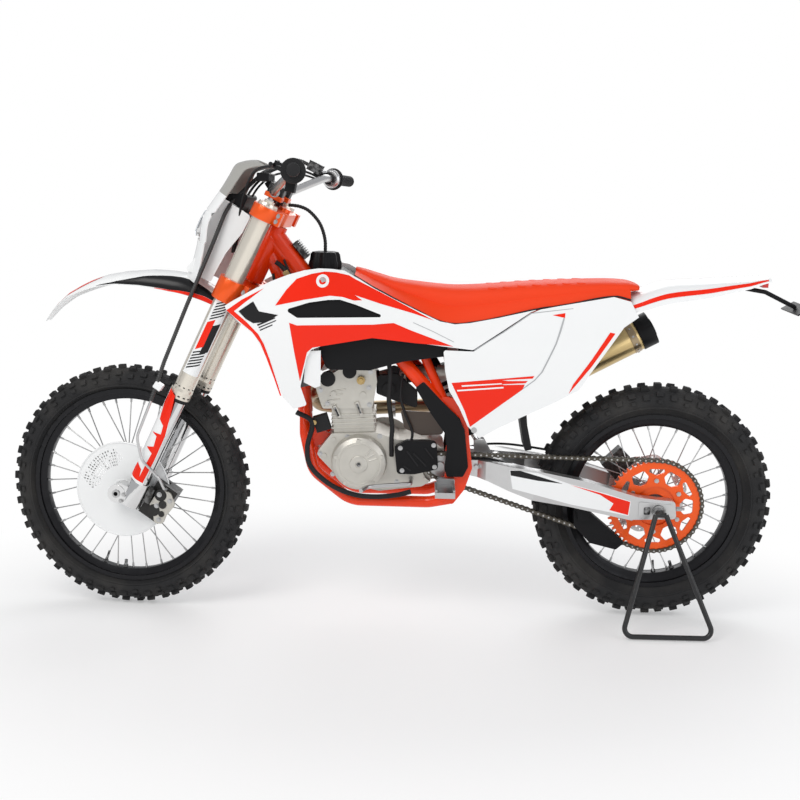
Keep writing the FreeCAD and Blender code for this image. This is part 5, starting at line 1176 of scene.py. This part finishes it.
def controls():
    """Ribbed grips, throttle housing, switch blocks, meter, and the bar's clamps and bolts."""
    grips, throttle, blocks, screen, bolts, collars, lid = meshes(7)
    ribs = 46
    for side in SIDES:
        outer, inner = Vector((128.8, side * 406, 1032.3)), Vector((103, side * 277, 1022.2))
        ahead = (inner - outer).normalized()
        length = (inner - outer).length
        points = [outer] + [outer + ahead * (0.8 + at) for at in spread(0, length - 12, ribs)]
        points += [inner - ahead * back for back in (9, 5.2, 5, 0.8, 0)]
        radii = [12.0] + [16.2 if k % 3 else 14.9 for k in range(ribs + 1)] + [17.5, 18.5, 31, 32, 30.5]
        add_tube(grips, points, radii, 30)
    inner = Vector((103, 277, 1022.2))
    ahead = Vector((-37, -185, -14.5)).normalized()
    add_turned(throttle, [(11.6, 0), (24, 0), (27, 4), (27, 16), (22, 21), (11.6, 21)], 40,
               along(inner + ahead, inner + ahead * 24))
    add_tube(throttle, [inner + ahead * 10 + Vector((-18, 0, 10)),
                        inner + ahead * 30 + Vector((-34, 0, 6))], 6, 14)
    ring = Vector((97, -232, 1019.2))
    add_turned(blocks, [(11.4, -9), (17, -9), (18, -6), (18, 6), (17, 9), (11.4, 9)], 32,
               along(ring, ring + Vector((37, -185, 14.5))))
    add_box(blocks, (103, -232, 990), (26, 24, 46), -14)
    add_box(blocks, (-16, -4, 958), (34, 74, 22), -24)
    add_box(blocks, (8, 26, 934), (50, 22, 16), 30)
    add_box(screen, (-11, -4, 969), (24, 56, 1.5), -24)
    for side in SIDES:
        for x, y, low, high, radius, sides in ((22, 44, 956, 963, 5.5, 20), (50, 44, 956, 963, 5.5, 20),
                                               (72, 255, 1026, 1029, 6, 6), (56, 262, 1018, 1029, 4.5, 6)):
            add_rod(bolts, (x, side * y, low), (x, side * y, high), radius, sides)
        add_box(collars, (36, side * 44, 925), (50, 31, 13))
    add_box(lid, (50, 232, 1044), (42, 38, 3))
    piece("grips_ribbed", grips, "black_rubber", "steering", ["grips"], angle=50)
    piece("throttle_housing", throttle, "bar_alloy", "steering", bevel=0.8)
    piece("switch_blocks", blocks, "black_plastic", "steering", bevel=2.5)
    piece("meter_screen", screen, "smoked_screen", "steering", bevel=0.4)
    piece("bar_bolts", bolts, "axle_steel", "steering")
    piece("bar_collars", collars, "orange_anodised", "steering", bevel=2)
    piece("reservoir_lid", lid, "black_metal", "steering", bevel=1)


# Frame, tank and engine


def tank_cap():
    """Fluted cap of the tank, with its vent hose."""
    cap, hose = meshes(2)
    edge = [around(40 + 3.2 * cos(8 * angle), angle) for angle in evenly(96)]
    rises = ((980, 1.04), (996, 1.06), (1002, 1.0), (1018, 0.94), (1025, 0.84), (1026, 0.7))
    add_rings(cap, [[Vector((-190 + x * share, y * share, z)) for x, y in edge] for z, share in rises])
    add_conduit(hose, flowing([(-190, 0, 1024), (-192, 0, 1062), (-206, 0, 1102), (-234, 0, 1134),
                               (-262, 0, 1147), (-292, 0, 1150)]), 4.4, 7.0, 0.7)
    piece("tank_cap", cap, "black_plastic", stands_for=["fuel_cap"], angle=30)
    piece("tank_vent", hose, "black_rubber")


# Hoses beside the frame: radius, sides, steps from point to point, and the points
FRAME_HOSES = (
    (6.5, 12, 8, [(-322, -40, 998), (-308, -42, 988), (-288, -46, 968), (-272, -52, 940)]),
    (4, 10, 8, [(-330, -38, 966), (-326, -42, 948), (-322, -48, 926), (-314, -54, 900)]),
    (3.4, 10, 8, [(-300, -40, 1004), (-284, -48, 970), (-262, -56, 936)]),
    (7, 14, 12, [(-262, -70, 587), (-218, -76, 560), (-230, -82, 492), (-220, -90, 438), (-166, -92, 388),
                 (-100, -90, 360), (-38, -88, 354), (21, -86, 360), (60, -84, 370)]),
    (6.5, 12, 8, [(-12, -78, 756), (-4, -84, 700), (-6, -86, 628), (4, -86, 560), (3, -84, 520),
                  (4, -80, 470)]),
    (4, 10, 8, [(30, -60, 700), (26, -74, 640), (40, -78, 590), (60, -76, 540), (56, -78, 506)]))
FRAME_SLEEVE = [(66, 672, 6), (88, 690, 6), (140, 636, 14), (180, 598, 20), (203, 560, 16), (213, 470, 12),
                (192, 446, 8), (188, 424, 6), (158, 424, 6), (150, 450, 14), (156, 500, 14), (150, 546, 16),
                (112, 598, 12)]


def frame_details():
    """Finned box on the backbone, hoses, plugs, the frame's rubber sleeves and the teeth of the foot pegs."""
    box, tubes, plugs, sleeves, teeth = meshes(5)
    middle, lean = Vector((-256, 0, 1030)), 49
    add_box(box, middle, (54, 46, 15), lean)
    for k in range(8):
        fin = Matrix.Rotation(radians(lean), 4, "Y") @ Vector((-23.5 + 6.7 * k, 0, 9.5))
        add_box(box, middle + fin, (3, 46, 5), lean)
    for radius, sides, steps, route in FRAME_HOSES:
        add_tube(tubes, flowing(route, steps), radius, sides)
    add_box(plugs, (-288, -50, 962), (16, 12, 30), -30)
    add_pins(plugs, [(-84, 682)], -68, -84, 12, 8)
    add_pins(plugs, [(-84, 682)], -84, -92, 7, 20)
    add_pins(plugs, [(-212, 560)], -64, -80, 7, 20)
    add_plates(sleeves, [rounded(FRAME_SLEEVE)], 114.8, 117.2)
    for y in [side * (130 + 9.5 * k) for side in SIDES for k in range(9)]:
        for x in (128, 176):
            add_box(teeth, (x, y, 408), (6, 5, 8))
    piece("finned_box", box, "black_metal", bevel=0.6)
    piece("frame_hoses", tubes, "black_rubber")
    piece("frame_plugs", plugs, "brass", bevel=0.8)
    piece("guard_sleeves", sleeves, "black_plastic", bevel=1.2)
    piece("peg_teeth", teeth, "axle_steel", bevel=0.5)


def engine():
    """Cover caps, bolts, ribs, rubber caps and boots on the engine's castings, with painted shade in the slots, in
    the cap's hollow and between the castings.
    """
    cast, bolts, dark, black, boots, flap = meshes(6)
    crank, left = (-86, 451), Matrix.Translation((-86, 0, 451))
    add_turned(cast, [(17, -107.6), (25, -107.6), (24, -110.4), (22, -111.6), (9, -111.6), (9, -109),
                      (0.5, -109), (0.5, -107.6)], 48, left)
    add_turned(cast, [(54, -107.4), (58, -107.4), (57.5, -109.2), (54.5, -109.2)], 72, left)
    for lean in (20, 36, 52):
        start, end = (around(reach, radians(lean), *crank) for reach in (30, 54))
        add_rod(cast, (start[0], -107.4, start[1]), (end[0], -107.4, end[1]), 2.4, 10)
    # Dark disc in the hollow of the cap: painted shade
    add_pins(dark, [crank], -110, -108, 6, 20)
    right = Matrix.Translation((-20, 0, 452))
    add_turned(cast, [(60, 109.6), (68, 109.6), (66, 112), (62, 112)], 72, right)
    add_turned(cast, [(0.5, 109.6), (26, 109.6), (24, 113), (10, 114), (0.5, 114)], 48, right)
    add_bolts(bolts, [around(80, angle, -20, 452) for angle in evenly(8, radians(22))], 106, 1, 4.5, 4)
    for low, high in (((-158, -67, 607), (-143, -67, 575)), ((-96, -67, 619), (-82, -67, 583))):
        low, high, front = Vector(low), Vector(high), Vector((0, -4.6, 0))
        add_rod(cast, low, high, 6.5, 20)
        # Dark strip along each boss where its slot is: painted shade
        add_rod(dark, low.lerp(high, 0.12) + front, low.lerp(high, 0.88) + front, 3.2, 12)
    for x, z in ((-196, 650), (-120, 708), (-58, 704), (-60, 612), (-176, 612), (-62, 660)):
        for side in SIDES:
            add_bolts(bolts, [(x, z)], side * 66, side, 5)
    for k in range(4):
        add_rod(cast, (-186 + 8 * k, -67, 606 + 14 * k), (-150 + 8 * k, -67, 612 + 14 * k), 1.6, 8)
    add_pins(black, [(-176, 682)], -58, -72, 21, 28)
    add_pins(black, [(-116, 704)], -60, -72, 19, 28)
    for a, b, c, d in ((46, 491, 78, 448), (65, 484, 101, 448), (38, 448, 58, 434), (96, 500, 120, 470)):
        add_rod(black, (a, -98.4, b), (c, -98.4, d), 2.6, 10)
    add_bolts(bolts, ((28, 498), (120, 508), (124, 446), (34, 434)), -98, -1, 4.5, 4)
    add_bolts(bolts, ((-196, 470), (-160, 412), (-120, 392), (-40, 380), (20, 394), (-30, 524), (-120, 520)),
              -70, -1, 5)
    # Black plate and box deep between the castings: painted shade
    add_plate(black, [rounded([(-42, 689, 6), (14, 697, 6), (72, 648, 8), (73, 600, 8), (16, 618, 6),
                               (-42, 640, 8)])], -46, -30)
    add_box(black, (-192, -56, 556), (40, 30, 44), -18)
    add_tube(boots, flowing([(34, 0, 688), (62, -10, 692), (96, -26, 698), (130, -36, 702)]),
             [24, 25, 24] * 8 + [24], 24)
    add_rod(boots, (-44, 0, 665), (-30, 0, 669), 31, 30)
    add_rod(boots, (6, -22, 700), (6, -40, 704), 15, 20)
    add_pins(boots, [(-8, 654)], -28, -52, 17, 24)
    add_plate(flap, [rounded([(26, 596, 6), (123, 592, 10), (146, 566, 10), (146, 530, 10), (86, 526, 10),
                              (38, 545, 10)])], -60, -56)
    piece("engine_castings", cast, "engine_alloy", bevel=0.6)
    piece("engine_bolts", bolts, "axle_steel")
    # Painted shade in the cap's hollow and the slots
    piece("engine_hollow_shade", dark, "black_metal")
    # Rubber caps and strips, and the painted shade of the plate and the box
    piece("engine_rubbers_and_shade", black, "black_rubber", bevel=1)
    piece("intake_boots", boots, "black_rubber", angle=50)
    piece("engine_flap", flap, "nylon_brown", bevel=1)


# Rear end

# Fields of film on the swingarm, and how far each lies above it
ARM_FIELDS = {
    "white_film": [[(330, 448), (408, 441), (500, 411), (600, 387), (668, 366), (664, 324), (600, 336),
                    (504, 353), (340, 394)]],
    "black_film": [[(332, 446), (360, 446), (478, 412), (409, 419), (334, 432)]],
    "red_film": [[(500, 409), (581, 389), (666, 365), (662, 327), (610, 340), (620, 359), (582, 383)]],
}
ARM_LIFT = {"white_film": 0.3, "black_film": 0.5, "red_film": 0.5}


def swingarm():
    """Film on the arms, axle blocks with their adjusters, the chain slider and the rear brake line."""
    def arm(x, z):
        return 116 + 2 * min((x - 330) / 470, 1) if x > 330 else 96 + 20 * (x - 266) / 64
    for colour, outlines in ARM_FIELDS.items():
        bm = bmesh.new()
        for side in SIDES:
            add_skin(bm, outlines, arm, side, 24, ARM_LIFT[colour])
        piece(f"arm_{colour}", bm, colour)
    blocks, marks, bolts, slider, hose = meshes(5)
    block = rounded([(690, 366, 5), (782, 360, 5), (788, 324, 5), (690, 320, 5)])
    add_plates(blocks, [block, circle(745, 340, 19.5, 36)], 118.1, 120.4)
    add_plates(marks, [rounded([(704, 352, 4), (722, 352, 4), (722, 330, 4), (704, 330, 4)])], 119, 120.9)
    for side in SIDES:
        add_rod(bolts, (797, side * 101, 343), (812, side * 101, 343), 7, 6)
        add_rod(bolts, (797, side * 101, 343), (820, side * 101, 343), 4, 12)
        add_pins(bolts, [(240, 446)], side * 80, side * 92, 7, 6)
    add_tube(slider, flowing([(196, -66, 470), (260, -66, 466), (330, -66, 452), (400, -66, 434)]), 7, 4)
    add_tube(hose, flowing([(150, 90, 420), (230, 121, 452), (330, 127, 462), (470, 125, 446),
                            (590, 122, 428), (640, 100, 432), (655, 76, 440)]), 3.4, 10)
    piece("axle_blocks", blocks, "silver_swingarm", bevel=0.6)
    piece("axle_marks", marks, "black_metal")
    piece("axle_adjusters", bolts, "axle_steel")
    piece("chain_slider", slider, "black_plastic")
    piece("rear_brake_line", hose, "black_rubber")


def suspension():
    """Coil round the damper, with its collars, eyes and shaft."""
    coil, body, shaft = meshes(3)
    top, low = Vector((96, 20, 744)), Vector((250, 20, 490))
    turned = along(top, low)
    turns, first, last = 7.5, 58, 224
    reaches = spread(first, last, int(turns * 20))
    add_tube(coil, [turned @ spoke(28, 2 * pi * k / 20, reach) for k, reach in enumerate(reaches)], 5, 10)
    add_turned(body, [(0.5, 18), (17, 18), (20, 24), (20, 46), (31, 46), (33, 49), (33, 53), (20, 53),
                      (20, 130), (17, 134), (0.5, 134)], 40, turned)
    add_turned(body, [(9, 226), (33, 226), (33, 230), (24, 236), (20, 262), (9, 266)], 40, turned)
    for spot in (top, low):
        add_pins(body, [(spot.x, spot.z)], spot.y - 12, spot.y + 12, 13, 28)
    add_rod(shaft, top, low, 8.6, 24)
    piece("shock_coil", coil, "spring_white", stands_for=["shock_absorber"])
    piece("shock_body", body, "black_metal", bevel=0.6)
    piece("shock_shaft", shaft, "fork_chrome")


def silencer():
    """Riveted bands, outlet and collars of the exhaust."""
    bands, rivets, outlet, collars = meshes(4)
    start, end = Vector((392, 104, 632)), Vector((700, 104, 800))
    turn = along(start, end)
    length = (end - start).length
    for at in (3, length - 28):
        add_turned(bands, [(45.6, at), (47.4, at), (47.4, at + 20), (45.6, at + 20)], 60, turn)
        for angle in evenly(12):
            add_rod(rivets, turn @ spoke(47, angle, at + 10), turn @ spoke(49, angle, at + 10), 3, 10)
    add_turned(outlet, [(18, length + 42.6), (26, length + 42.6), (27, length + 48), (17, length + 48)], 40,
               turn)
    add_turned(outlet, [(0.5, length + 42.6), (17, length + 42.6), (16, length + 44), (0.5, length + 44)],
               40, turn)
    add_turned(collars, [(20, 0), (25, 0), (25, 9), (20, 9)], 40, along((0, 137, 559.5), (20, 137, 560.6)))
    add_turned(collars, [(20, 0), (26, 0), (26, 8), (20, 8)], 40, along((-204, 46, 630), (-230, 46, 621)))
    piece("silencer_bands", bands, "header_steel", bevel=0.4)
    piece("silencer_rivets", rivets, "axle_steel")
    piece("silencer_outlet", outlet, "black_metal", bevel=0.5)
    piece("exhaust_collars", collars, "axle_steel", bevel=0.4)


def valve(name, body, bed):
    """Air valve and rim lock on a wheel, inside the rim."""
    bm = bmesh.new()
    for lean, reach, radius in ((-84, 34, 3.4), (-70, 22, 4.6)):
        out = spoke(1, radians(lean))
        add_rod(bm, out * (bed - reach), out * (bed + 2), radius, 12)
        add_rod(bm, out * (bed - 7), out * (bed + 1), radius + 3, 6)
    piece(name, bm, "black_metal", body)


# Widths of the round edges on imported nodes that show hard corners
SOFT_EDGES = {
    0.5: "front_rim rear_rim", 0.6: "cylinder fork_guards",
    0.8: "main_frame radiators plate_bracket frame_guards carburettor", 1.0: "engine_covers silencer",
    1.2: "fork_legs levers foot_pegs", 1.6: "triple_clamps front_caliper",
    2.0: "bar_mounts engine_cases sprocket_cover airbox chain_guide rear_caliper rubber_flap tail_lamp "
         "silencer_cap",
    2.2: "swingarm", 2.5: "cylinder_head", 3.0: "fuel_tank"}


def soften():
    for width, names in SOFT_EDGES.items():
        for name in names.split():
            node = frame["nodes"][name]
            node.modifiers.new("weld", "WELD").merge_threshold = 0.00002
            round_edges(node, width, 32)


dress_cad()
studio()
floor()
camera()
wheels()
chain()
shrouds()
side_panels()
mudguards()
seat()
headlight_mask()
cowl_inside()
fork()
fork_feet()
hoses()
controls()
tank_cap()
frame_details()
engine()
swingarm()
suspension()
silencer()
valve("front_valve", "front_wheel", 250)
valve("rear_valve", "rear_wheel", 218)
soften()
